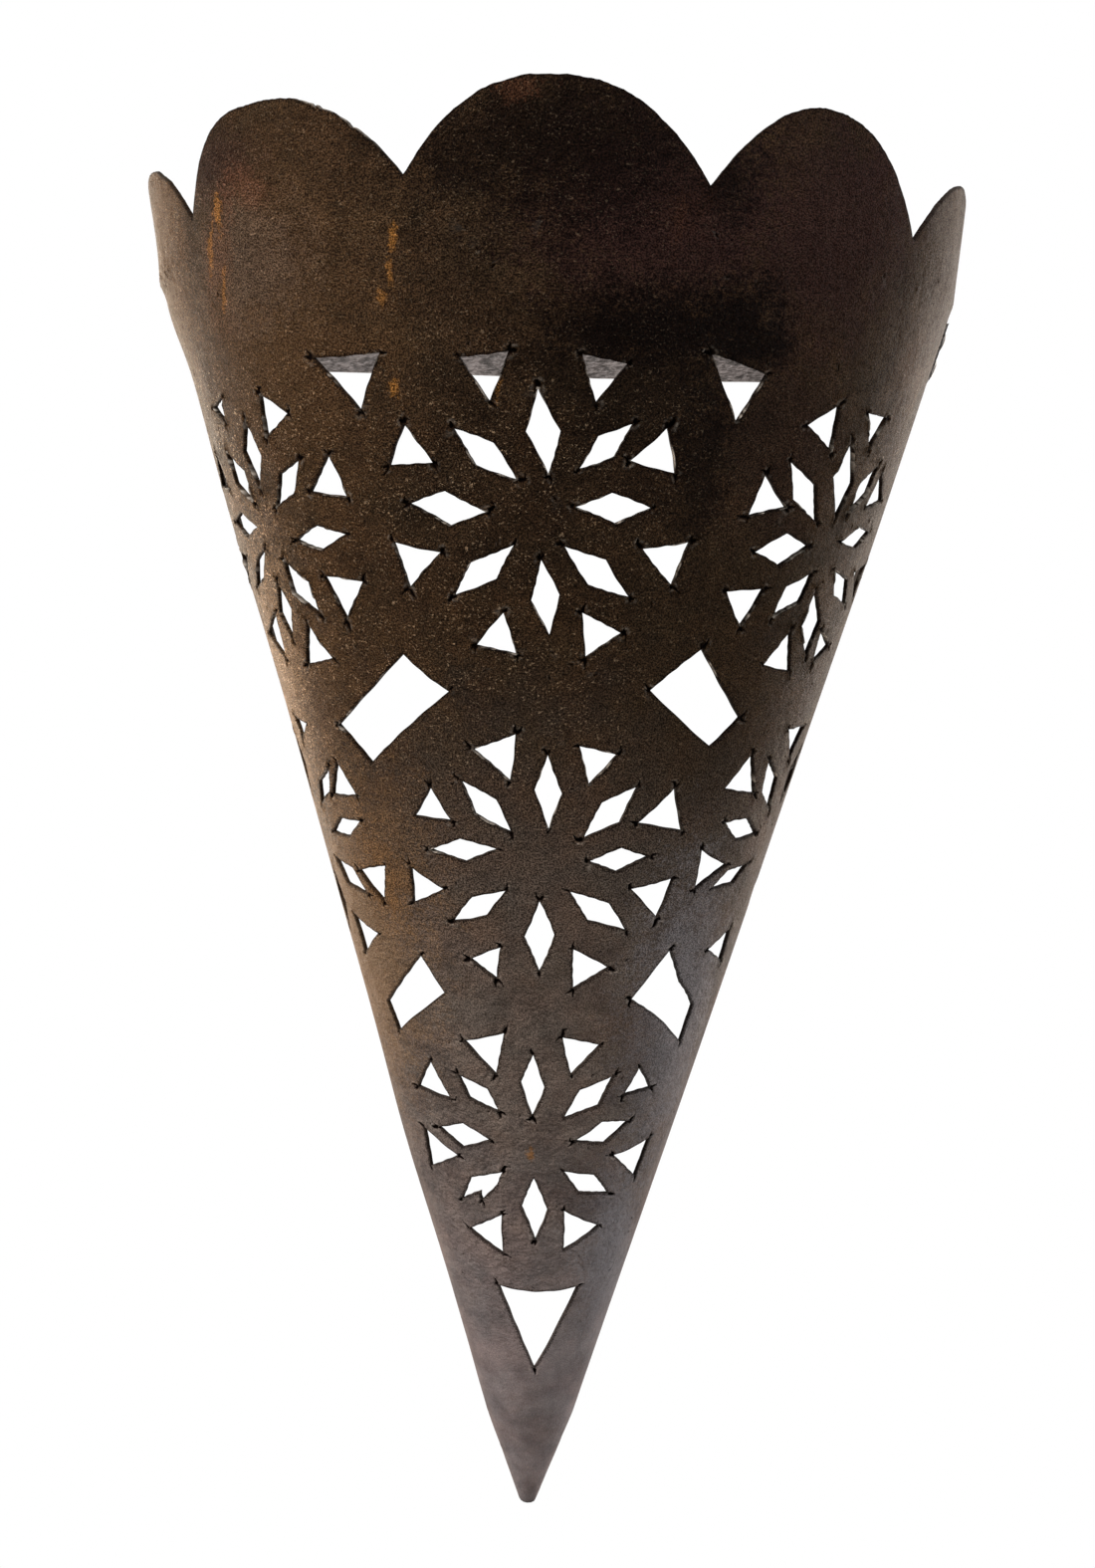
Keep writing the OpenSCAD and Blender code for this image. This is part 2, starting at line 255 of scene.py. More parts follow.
def clamp01(values):
    """Values held between 0 and 1."""
    return np.clip(values, 0.0, 1.0)


def colour_prop(name, description, default):
    """A colour that a user may change."""
    return FloatVectorProperty(name=name, description=description, default=default, subtype="COLOR",
                               min=0.0, max=1.0)


def length_prop(name, description, default):
    """A length that a user may change, with its default in millimetres."""
    return FloatProperty(name=name, description=description, default=default * MM, unit="LENGTH")


def angle_prop(name, description, default):
    """An angle that a user may change, with its default in degrees."""
    return FloatProperty(name=name, description=description, default=math.radians(default), subtype="ANGLE")


def power_prop(name, description, default):
    """A lamp's power that a user may change, in watts."""
    return FloatProperty(name=name, description=description, default=default, unit="POWER")


class SconceShadeSettings(bpy.types.PropertyGroup):
    """Sizes and colours of the bent and pierced sheet."""

    sheet_thickness: length_prop("Sheet thickness", "Thickness of the sheet iron", 1.2)
    flare_left: length_prop("Crown flare, left", "Step outwards over the strap's left end", 1.6)
    flare_right: length_prop("Crown flare, right", "Step outwards over the strap's right end", 0.8)
    lean_left: angle_prop("Crown lean, left", "Lean of the petals on the left side", 9.5)
    lean_right: angle_prop("Crown lean, right", "Lean of the petals on the right side", 4.6)
    taper_height: length_prop("Taper height", "Height over the point where the end narrows", 55)
    tip_radius: length_prop("Tip radius", "Outer radius of the blunt lower end", 3.5)
    tip_reach: length_prop("Tip reach", "How far the end reaches under the solid's end", 1.6)
    cell: length_prop("Mesh step", "Distance between points in the plain parts of the sheet", 2.8)
    dent_depth: length_prop("Dent depth", "Depth of the broad dents left by bending", 0.5)
    strays: IntProperty(name="Stray marks", description="Small dents and slips of the chisel", default=170)
    seed: IntProperty(name="Hand", description="Which of the possible uneven hand-cut sheets is made",
                      default=7)
    umber: colour_prop("Umber", "Patina of the crown and upper cone", (0.031, 0.0174, 0.0086))
    # Taupe and ash are partly patina and partly a painted reflection of the pale surroundings below
    taupe: colour_prop("Taupe", "Paler patina of the lower cone", (0.116, 0.087, 0.07))
    ash: colour_prop("Ash", "Grey patina towards the point", (0.19, 0.156, 0.15))
    plum: colour_prop("Plum", "Purplish patina on the right of the crown", (0.027, 0.0115, 0.0095))
    # Also the colour of the painted shade along the cut edges and in the chisel marks
    soot_and_shade: colour_prop("Soot", "Soot and black scale", (0.0042, 0.0018, 0.0011))
    tan: colour_prop("Tan", "Worn rusty brown", (0.103, 0.0515, 0.0215))
    # Bare metal of the burrs, painted light enough to stand for the highlight they catch too
    steel_and_highlight: colour_prop("Steel", "Bare metal of the burrs", (0.62, 0.53, 0.44))
    slate: colour_prop("Slate", "Cool grey low on the right side", (0.195, 0.174, 0.176))
    sand: colour_prop("Sand", "Pale worn brown on the left side", (0.2, 0.115, 0.058))
    rust: colour_prop("Rust", "Red rust", (0.11, 0.042, 0.02))
    ochre: colour_prop("Ochre", "Fresh orange rust", (0.24, 0.1, 0.022))
    # Colour of the grains' painted glints
    grain_glint: colour_prop("Grain", "Rubbed grains that stand out of the patina", (0.36, 0.26, 0.165))


class SconceStrapSettings(bpy.types.PropertyGroup):
    """Sizes and colours of the flat bar across the open back."""

    thickness: length_prop("Thickness", "Thickness of the flat bar", 1.5)
    thinning: length_prop("Thinning", "How much thinner the bent ends are hammered", 0.5)
    lap: length_prop("Lap", "Length of the bent ends on the sheet's outside", 14)
    gap: length_prop("Gap", "Gap between the sheet and the bent ends", 0.1)
    bend_radius: length_prop("Bend radius", "Outer radius of the bends", 2.2)
    screw_step: length_prop("Screw distance", "Distance between the two screw holes", 80)
    screw_hole: length_prop("Screw hole", "Diameter of a screw hole", 5)
    grey: colour_prop("Grey", "Forged skin of the bar", (0.22, 0.184, 0.17))
    # Laid in the wrinkles' troughs as painted shade
    dark: colour_prop("Dark", "Scale in the bar's wrinkles", (0.07, 0.058, 0.052))


class SconceRivetSettings(bpy.types.PropertyGroup):
    """Sizes and colours of the four rivets."""

    shank: length_prop("Shank", "Diameter of the shank", 3)
    clearance: length_prop("Clearance", "Gap round the shank", 0.1)
    seat_gap: length_prop("Seat gap", "Gap under the head and the tail", 0.06)
    head: length_prop("Head", "Diameter of the domed head", 6.2)
    head_rise: length_prop("Head rise", "Height of the domed head", 1.0)
    tail: length_prop("Tail", "Diameter of the flattened inner end", 5.2)
    tail_rise: length_prop("Tail rise", "Height of the flattened inner end", 0.9)
    step: length_prop("Step", "Distance between the two rivets of an end", 9)
    edge: length_prop("Edge", "Distance of the rivets from the sheet's back edge", 6.8)
    iron: colour_prop("Iron", "Hammered dark iron", (0.028, 0.021, 0.016))


class SconceStageSettings(bpy.types.PropertyGroup):
    """Camera, floor and lights."""

    lens: FloatProperty(name="Lens", description="Focal length on a 36 mm wide sensor", default=35.61,
                        subtype="DISTANCE_CAMERA")
    floor_drop: length_prop("Floor drop", "Height of the point over the floor", 750)
    left_power: power_prop("Left power", "Power of the light from the left", 8.5)
    right_power: power_prop("Right power", "Power of the light from the right", 11.0)
    top_power: power_prop("Top power", "Power of the light from above", 23.0)
    left_rim_power: power_prop("Left rim power", "Power of the light from behind, left", 17.0)
    right_rim_power: power_prop("Right rim power", "Power of the light from behind, right", 11.0)
    ambient: FloatProperty(name="Ambient", description="Brightness of the surroundings for soft light",
                           default=0.12)


def rivet_places(rivets):
    """Name of each rivet's node, with its height over the cone's point and its angle in degrees."""
    radius = STRAP_MIDDLE_H * math.tan(CONE_SLANT)
    angle = 90 - math.degrees(rivets.edge / radius)
    for side_name, side in (("left", -1), ("right", 1)):
        for level_name, level in (("upper", 1), ("lower", -1)):
            yield f"rivet_{side_name}_{level_name}", STRAP_MIDDLE_H + level * rivets.step / 2, side * angle


def turned(way, angle):
    """A flat direction turned to the left by an angle in radians."""
    return Vector((way.x * math.cos(angle) - way.y * math.sin(angle),
                   way.x * math.sin(angle) + way.y * math.cos(angle)))


def on_cone(height, angle):
    """Matrix that puts z along the sheet's outward normal, with its origin on the sheet's outside."""
    turn = math.radians(angle)
    radius = height * math.tan(CONE_SLANT)
    place = Vector((radius * math.sin(turn), AXIS_Y - radius * math.cos(turn), POINT_Z + height))
    # Upright z is first tipped to the front and down by the slant, and then turned round the cone
    tip = Matrix.Rotation(math.radians(90) + CONE_SLANT, 4, "X")
    return Matrix.Translation(place) @ Matrix.Rotation(turn, 4, "Z") @ tip


class FlatSheet:
    """The sheet on the bench: points in millimetres, x to the right and y up from the cone's own point."""

    # Rows of points beside a cut line: their distance from it and the front's height there
    RINGS = ((0.4, -0.07), (1.1, -0.03))
    # Least distance between the points of those rows, and between the points round chisel marks
    RING_SPACING = 0.34
    NICK_SPACING = 0.27
    # Step between points along a chisel mark, and their places to its sides in half widths
    NICK_STEP = 0.4
    NICK_SIDES = (0, -1, 1, -2, 2, -3, 3)
    # Distance between the rows of the plain grid, and least distance between its points, in its steps
    GRID_ROWS = 0.866
    GRID_SPACING = 0.62
    # Width of the band round a hole where its rounded dark edge takes the light away
    EDGE_SHADE = 0.16
    # Points up each back edge, and degrees between points along the rim
    EDGE_STEPS = 150
    RIM_STEP = 0.45
    # Angles round the cone, in degrees, that holes and plain points keep within
    HOLES_WITHIN = 86
    POINTS_WITHIN = 89.5
    # Heights on the flat sheet over which holes have burrs, their lower sides have more of them, and the
    # outline may be worn bright
    BURRS_OVER = 280
    LOWER_BURRS_OVER = 340
    WEAR_OVER = 300
    # How far a cut edge's front is rounded down and a burr stands up, and the noise that makes a burr
    EDGE_ROUNDING = 0.18
    BURR_RISE = 0.55
    BURR_LEVEL = 0.24
    # Share of the cuts that run on past a hole's corner
    OVER_CUTS = 0.8
    # Least share of the eye's distance that counts as straight in front of a hole
    LEAST_FACING = 0.3
    # Where stray marks lie: distances from the cone's point, angle round the cone, distance from cut lines
    STRAY_ROWS = (110, 470)
    STRAY_WITHIN = 75
    STRAY_CLEAR = 1.5
    # Sizes of the broad dents and of the small hammer marks
    BROAD_DENT = 48
    SMALL_DENT = 14
    # Angles in radians where the flare starts and over which it grows
    FLARE_START = 0.7
    FLARE_GROWTH = 0.5

    def __init__(self, shade, rivets):
        self.shade = shade
        self.rivets = rivets
        self.rng = random.Random(shade.seed)
        self.points = []
        self.lips = []
        self.loops = []
        self.nicks = []
        self.burrs = {}

    def add(self, x, y, lip=0.0):
        """One point of the sheet, and how far its front is raised there."""
        self.points.append((x, y))
        self.lips.append(lip)
        return len(self.points) - 1

    def place(self, height, angle):
        """Flat place of a point on the cone, from its height in millimetres and its angle in degrees."""
        row = height / math.cos(CONE_SLANT)
        turn = math.radians(angle) * math.sin(CONE_SLANT)
        return row * math.sin(turn), row * math.cos(turn)

    def angle_at(self, point):
        """Angle round the cone of a flat point, in degrees."""
        return math.degrees(math.atan2(point[0], point[1]) / math.sin(CONE_SLANT))

    def rim_height(self, angle):
        """Height of the scalloped rim at an angle round the cone: five round-topped petals."""
        petal = sum(angle > notch[0] for notch in NOTCHES[1:-1])
        top_angle, top, left_shoulder, right_shoulder = PETALS[petal]
        foot, shoulder = NOTCHES[petal], left_shoulder
        if angle > top_angle:
            foot, shoulder = NOTCHES[petal + 1], right_shoulder
        share = min(1.0, (angle - top_angle) / (foot[0] - top_angle))
        ragged = 0.3 * noise.noise(Vector((angle * 0.45, 3.1, 0)))
        ragged += 0.25 * noise.noise(Vector((angle * 1.7, 8.3, 0)))
        chipped = clamp01((5 - abs(angle + CHIPPED_AT)) / 2)
        ragged -= 1.8 * chipped * max(0.0, noise.noise(Vector((angle * 2.1, 5.3, 0))))
        return top - (top - foot[1]) * share ** shoulder + ragged

    def edge_angle(self, height, side):
        """Angle of a back edge at a height: nearly straight, a little uneven."""
        wander = 0.5 * noise.noise(Vector((height * 0.05, side * 5.7, 1.4)))
        radius = max(12.0, height * math.tan(CONE_SLANT))
        return side * (90 - math.degrees(abs(wander) / radius))

    def cut_outline(self):
        """The blank's own outline: up the left edge, along the petals, and down the right edge."""
        low = (TIP_RISE - self.shade.tip_reach) / MM
        high_left, high_right = self.rim_height(-90), self.rim_height(90)
        steps = self.EDGE_STEPS
        outline = []
        for k in range(steps):
            height = low + (high_left - low) * k / steps
            outline.append(self.place(height, self.edge_angle(height, -1)))
        for angle in np.arange(-90, 90.01, self.RIM_STEP):
            outline.append(self.place(self.rim_height(angle), angle))
        for k in range(1, steps + 1):
            height = high_right + (low - high_right) * k / steps
            outline.append(self.place(height, self.edge_angle(height, 1)))
        for angle in range(60, -61, -30):
            outline.append(self.place(low, angle))
        self.cut(outline[::-1])

    def cut(self, outline):
        """Adds one cut line, which has the sheet on its left: clockwise round a hole."""
        self.loops.append([self.add(x, y) for x, y in outline])

    def uneven(self, corners, bow, wave, step=1.0):
        """Points along a hand-cut outline: each side bowed a little and wavering."""
        outline = []
        for a, b in zip(corners, corners[1:] + corners[:1]):
            start, run = Vector(a), Vector(b) - Vector(a)
            count = max(3, round(run.length / step))
            across = Vector((-run.y, run.x)).normalized()
            bulge = self.rng.uniform(-bow, bow)
            phase = self.rng.uniform(0, math.tau)
            waves = self.rng.choice((1.5, 2.5, 3.5))
            for k in range(count):
                t = k / count
                off = bulge * 4 * t * (1 - t)
                off += wave * math.sin(phase + math.tau * waves * t) * math.sin(math.pi * t)
                point = start + run * t + across * off
                outline.append((point.x, point.y))
        return outline

    def hidden_by_wall(self, middle):
        """How far a hole's inner edge is shifted against its outer one, seen from the eye."""
        turn = math.atan2(middle.x, middle.y)
        height = middle.length * math.cos(CONE_SLANT) * MM
        eye = on_cone(height, self.angle_at(middle)).inverted() @ EYE
        ahead = max(eye.z, self.LEAST_FACING * eye.length)
        shift = eye.xy * (self.shade.sheet_thickness / MM / ahead)
        return turned(shift, -turn)

    def opened(self, corners):
        """Corners of a hole that lets through the light that its given corners outline from the eye."""
        middle = sum(corners, Vector((0, 0))) / len(corners)
        hidden = self.hidden_by_wall(middle)
        way = hidden.normalized()
        reach = max(abs((c - middle).dot(way)) for c in corners)
        # The rounded dark edge takes a little light away all round
        pairs = list(zip(corners, corners[1:] + corners[:1]))
        area = abs(sum(a.x * b.y - a.y * b.x for a, b in pairs)) / 2
        grow = 1 + self.EDGE_SHADE * sum((b - a).length for a, b in pairs) / (2 * area)
        return [middle + (c - middle) * grow - hidden * (0.5 - 0.5 * (c - middle).dot(way) / reach)
                for c in corners]

    def cut_hole(self, corners, bow=0.3, wave=0.12):
        """A hole through the sheet, with corners in order clockwise, and the chisel's over-cuts past them."""
        corners = self.opened(corners)
        self.cut(self.uneven([tuple(c) for c in corners], bow, wave))
        count = len(corners)
        for i in range(count):
            corner = Vector(corners[i])
            into = (corner - Vector(corners[i - 1])).normalized()
            back = (corner - Vector(corners[(i + 1) % count])).normalized()
            # Blunt corners have none
            if into.dot(back) < -0.1:
                continue
            for along in (into, back):
                if self.rng.random() < self.OVER_CUTS:
                    self.over_cut(corner, along)

    def over_cut(self, corner, along):
        """A chisel mark past a hole's corner: a wedge that dies out, some hooked, some a little apart."""
        rng = self.rng
        way = turned(along, rng.uniform(-0.3, 0.3))
        start = corner + way * rng.choice((0.0, 0.2, 0.3, 1.0))
        width = rng.uniform(0.5, 0.95)
        depth = rng.uniform(0.5, 0.95)
        middle = start + way * rng.uniform(0.6, 1.9)
        self.nicks.append((start, middle, width, width * 0.65, depth))
        kind = rng.random()
        if kind < 0.35:
            end = middle + turned(way, rng.choice((-1, 1)) * rng.uniform(0.8, 1.6)) * rng.uniform(0.8, 1.8)
            self.nicks.append((middle, end, width * 0.65, 0.14, depth * 0.8))
        elif kind < 0.8:
            end = middle + turned(way, rng.uniform(-0.5, 0.5)) * rng.uniform(0.6, 1.6)
            self.nicks.append((middle, end, width * 0.65, 0.12, depth * 0.7))

    def cut_rosette(self, index, rosette):
        """Eight rhombs and, outside them, eight triangles."""
        tilt = rosette["arc"] / rosette["row"]
        middle = Vector((math.sin(tilt), math.cos(tilt))) * rosette["row"]
        for k in range(8):
            toward = tilt + math.radians(45 * k + rosette["rhomb_stray"][k])
            centre = middle + Vector((math.sin(toward), math.cos(toward))) * rosette["rhomb_ring"][k]
            own = toward + math.radians(rosette["rhomb_turn"][k])
            half_len, half_w = rosette["rhomb_len"][k] / 2, rosette["rhomb_w"][k] / 2
            slip = self.rng.uniform(-1.2, 1.2)
            shape = [(0, half_len), (half_w, slip), (0, -half_len), (-half_w, -slip)]
            if (index, k) == TONGUE_HOLE:
                self.cut_hole([Vector(c) for c in TONGUE_CORNERS])
            else:
                self.cut_inside(shape, centre, own)
        for k in range(8):
            toward = tilt + math.radians(45 * k + 22.5 + rosette["tri_stray"][k])
            centre = middle + Vector((math.sin(toward), math.cos(toward))) * rosette["tri_ring"][k]
            own = toward + math.radians(rosette["tri_turn"][k])
            size = rosette["tri_size"][k]
            half_w, height = TRIANGLE_W / 2 * size, TRIANGLE_H * size
            self.cut_inside([(half_w, height / 3), (0, -height * 2 / 3), (-half_w, height / 3)], centre, own)

    def cut_inside(self, shape, centre, turn):
        """Cuts a hole given about its own middle, y being outwards, unless it nears an edge."""
        corners = []
        for x, y in shape:
            corners.append(centre + Vector((x * math.cos(turn) + y * math.sin(turn),
                                            -x * math.sin(turn) + y * math.cos(turn))))
        if max(abs(self.angle_at(c)) for c in corners) < self.HOLES_WITHIN:
            self.cut_hole(corners)

    def cut_rivet_holes(self):
        """Round holes for the four rivets."""
        radius = (self.rivets.shank / 2 + self.rivets.clearance) / MM
        for _name, height, angle in rivet_places(self.rivets):
            x, y = self.place(height / MM, angle)
            turns = np.linspace(0, math.tau, 17)[:-1]
            self.cut([(x + radius * math.sin(a), y + radius * math.cos(a)) for a in turns])

    def lay_out(self):
        """All cut lines of the sheet."""
        self.cut_outline()
        for index, rosette in enumerate(ROSETTES):
            self.cut_rosette(index, rosette)
        for corners in WINDOWS:
            self.cut_hole([Vector(c) for c in corners], bow=0.5, wave=0.12)
        self.cut_rivet_holes()
        self.cut_points = len(self.points)
        self.cut_tree = self.tree_of(self.points)

    def tree_of(self, points):
        """Search tree over flat points."""
        tree = kdtree.KDTree(len(points))
        for i, (x, y) in enumerate(points):
            tree.insert((x, y, 0), i)
        tree.balance()
        return tree

    def edge_lips(self):
        """Front of each cut edge: rounded over, or on a few stretches raised to a ragged burr.

        The outline has no burrs, but its rim is worn bright where it is chipped."""
        for index, loop in enumerate(self.loops):
            middle_y = sum(self.points[k][1] for k in loop) / len(loop)
            for k in loop:
                x, y = self.points[k]
                below = 0.2 if self.LOWER_BURRS_OVER < y < middle_y - 1 else 0.0
                burr = below + noise.noise(Vector((x * 0.16, y * 0.16, index * 0.7)))
                ragged = noise.noise(Vector((x * 1.3, y * 1.3, 2.0)))
                raised = clamp01((burr - self.BURR_LEVEL) * 6) if index and y > self.BURRS_OVER else 0.0
                # Brightness of burrs and worn rim, which the material paints as bare metal and, on the burrs,
                # as the highlight they catch
                if index == 0 and y > self.WEAR_OVER:
                    worn = clamp01((6 - abs(self.angle_at((x, y)) + CHIPPED_AT)) / 2)
                    self.burrs[k] = worn * clamp01(0.3 + 1.5 * ragged)
                else:
                    self.burrs[k] = raised * clamp01(0.4 + 1.6 * ragged)
                stands = raised * (self.BURR_RISE + 0.4 * ragged)
                self.lips[k] = -self.EDGE_ROUNDING - 0.06 * ragged + stands

    def edge_rings(self):
        """Rows of points beside each cut line, which give its edge a rounding."""
        kept = []
        for loop in self.loops:
            count = len(loop)
            for ring, rounding in self.RINGS:
                for k in range(count):
                    before, here, after = (Vector(self.points[loop[(k + d) % count]]) for d in (-1, 0, 1))
                    along = (after - before).normalized()
                    spot = here + Vector((-along.y, along.x)) * ring
                    if self.cut_tree.find((*spot, 0))[2] > ring * 0.8:
                        kept.append((spot, rounding))
        self.add_apart(kept, self.RING_SPACING)

    def nick_points(self):
        """Points along and beside each chisel mark, so that the mesh can follow its groove."""
        spots = []
        for start, end, width, end_width, _depth in self.nicks:
            run = end - start
            count = max(2, round(run.length / self.NICK_STEP))
            side = Vector((-run.y, run.x)).normalized()
            for k in range(-1, count + 2):
                here = start + run * (k / count)
                reach = width + (end_width - width) * min(1, max(0, k / count))
                for share in self.NICK_SIDES:
                    spots.append((here + side * share * reach, 0.0))
            ways = np.linspace(0, math.tau, 13)[:-1]
            spots += [(end + Vector((math.sin(a), math.cos(a))) * (end_width * 3 + 0.2), 0.0) for a in ways]
        self.add_apart(spots, self.NICK_SPACING)

    def stray_marks(self):
        """Small dents and slips of the chisel, here and there over the sheet."""
        rng = self.rng
        for _k in range(self.shade.strays):
            row = rng.uniform(*self.STRAY_ROWS)
            turn = math.radians(rng.uniform(-self.STRAY_WITHIN, self.STRAY_WITHIN)) * math.sin(CONE_SLANT)
            start = Vector((math.sin(turn), math.cos(turn))) * row
            if self.cut_tree.find((*start, 0))[2] < self.STRAY_CLEAR:
                continue
            way = turned(Vector((0, 1)), rng.uniform(0, math.tau))
            middle = start + way * rng.uniform(0.4, 0.9)
            end = middle + turned(way, rng.uniform(-1.2, 1.2)) * rng.uniform(0.3, 0.8)
            width, depth = rng.uniform(0.25, 0.45), rng.uniform(0.2, 0.45)
            self.nicks.append((start, middle, width, width * 0.9, depth))
            self.nicks.append((middle, end, width * 0.9, 0.15, depth * 0.8))

    def plain_points(self):
        """A wavering three-way grid over the rest of the sheet."""
        step = self.shade.cell / MM
        reach = max(p[1] for p in self.points)
        half = max(p[0] for p in self.points)
        spots = []
        for row, y in enumerate(np.arange(15, reach, step * self.GRID_ROWS)):
            for x in np.arange(-half, half, step):
                shift = Vector((self.rng.uniform(-0.3, 0.3), self.rng.uniform(-0.3, 0.3)))
                spot = Vector((x + step / 2 * (row % 2), y)) + shift
                if abs(self.angle_at(spot)) < self.POINTS_WITHIN:
                    spots.append((spot, 0.0))
        self.add_apart(spots, step * self.GRID_SPACING)

    def add_apart(self, spots, least):
        """Adds the spots that keep a least distance from what is there, and from each other."""
        tree = self.tree_of(self.points)
        cells = {}
        for spot, lip in spots:
            if tree.find((*spot, 0))[2] < least:
                continue
            column, row = int(spot.x // least), int(spot.y // least)
            around = [(column + i, row + j) for i in (-1, 0, 1) for j in (-1, 0, 1)]
            near = [p for cell in around for p in cells.get(cell, ())]
            if any((p - spot).length < least for p in near):
                continue
            cells.setdefault((column, row), []).append(spot)
            self.add(spot.x, spot.y, lip)

    def triangles(self):
        """Places, raised fronts, burrs and triangles of the sheet, without its holes."""
        loops = [self.loops[0]] + [loop[::-1] for loop in self.loops[1:]]
        found = geometry.delaunay_2d_cdt([Vector(p) for p in self.points], [], loops, 0, 1e-4, True)
        places, _edges, faces, origins, _edge_origins, face_origins = found
        kept = [f for f, inside in zip(faces, face_origins) if inside == [0]]
        used = sorted({v for f in kept for v in f})
        renumber = {v: i for i, v in enumerate(used)}
        spots = np.array([places[v] for v in used])
        lips = np.array([self.lips[origins[v][0]] if origins[v] else -0.1 for v in used])
        burrs = np.array([self.burrs.get(origins[v][0], 0.0) if origins[v] else 0.0 for v in used])
        return spots, lips, burrs, [tuple(renumber[v] for v in f) for f in kept]

    def edge_gaps(self, spots):
        """Distance of each spot from the nearest cut line's points, in millimetres."""
        return np.array([self.cut_tree.find((x, y, 0))[2] for x, y in spots])

    def grooves(self, spots):
        """Depth of the chisel marks at each spot and height of the lips they threw up, in millimetres."""
        deep, thrown = np.zeros(len(spots)), np.zeros(len(spots))
        for start, end, width, end_width, depth in self.nicks:
            a, run = np.array(start), np.array(end - start)
            # No mark reaches further than 4 mm from its middle
            near = np.where(np.abs(spots - (a + run / 2)).max(1) < 4)[0]
            t = clamp01(((spots[near] - a) @ run) / (run @ run))
            gap = np.linalg.norm(spots[near] - a - t[:, None] * run, axis=1)
            share = gap / (width + (end_width - width) * t)
            deep[near] = np.maximum(deep[near], depth * clamp01(1.15 - share))
            thrown[near] = np.maximum(thrown[near], 0.3 * depth * clamp01(1 - np.abs(share - 1.9) / 0.7))
        return deep, np.where(deep > 0, 0, thrown)

    def waves(self, spots, size, level):
        """Soft noise over flat spots, with waves of some size in millimetres."""
        return np.array([noise.noise(Vector((x / size, y / size, level))) for x, y in spots])

    def dents(self, spots):
        """Broad dents, small hammer marks and bulges, in millimetres, none where the strap's ends lie."""
        broad = self.waves(spots, self.BROAD_DENT, 0.3)
        small = self.waves(spots, self.SMALL_DENT, 4.0)
        angle = np.degrees(np.arctan2(spots[:, 0], spots[:, 1]) / math.sin(CONE_SLANT))
        height = np.hypot(spots[:, 0], spots[:, 1]) * math.cos(CONE_SLANT)
        raised = (broad + 0.35 * small) * clamp01((80 - np.abs(angle)) / 12) * self.shade.dent_depth / MM
        for side, middle, reach, rise in BULGES:
            swell = np.exp(-((height - middle) / reach) ** 2) * clamp01((side * angle - 45) / 30)
            raised = raised + rise * swell
        beside_strap = clamp01((np.abs(angle) - 80) / 3.5)
        at_strap = clamp01((16 - np.abs(height - STRAP_MIDDLE_H / MM)) / 5)
        return raised * (1 - beside_strap * at_strap)

    def bend(self, spots, raised):
        """Places on the cone, in metres, of flat spots raised off the sheet's front by a few tenths."""
        row = np.hypot(spots[:, 0], spots[:, 1]) * MM
        angle = np.arctan2(spots[:, 0], spots[:, 1]) / math.sin(CONE_SLANT)
        height = row * math.cos(CONE_SLANT)
        slope = math.tan(CONE_SLANT)
        taper = self.shade.taper_height
        narrow = (taper * slope - self.shade.tip_radius) / (taper - TIP_RISE)
        radius = np.where(height < taper, taper * slope - (taper - height) * narrow, height * slope)
        # The crown's lean changes from left to right, and the crease under it is soft
        share = (angle / math.radians(80) + 1) / 2
        lean = self.shade.lean_left + (self.shade.lean_right - self.shade.lean_left) * share
        soft = 3 * MM
        rise = height - CREASE_H
        above = np.where(rise > soft, rise, np.where(rise > -soft, (rise + soft) ** 2 / (4 * soft), 0))
        radius = radius + above * (np.tan(lean) - slope)
        flare = np.where(angle < 0, self.shade.flare_left, self.shade.flare_right)
        flared = clamp01((np.abs(angle) - self.FLARE_START) / self.FLARE_GROWTH)
        radius = radius + flare * flared * clamp01(rise / soft)
        tilt = np.where(rise > 0, lean, CONE_SLANT)
        out = raised * MM
        radius = radius + out * np.cos(tilt)
        height = height - out * np.sin(tilt)
        return np.stack([radius * np.sin(angle), AXIS_Y - radius * np.cos(angle), POINT_Z + height], 1)


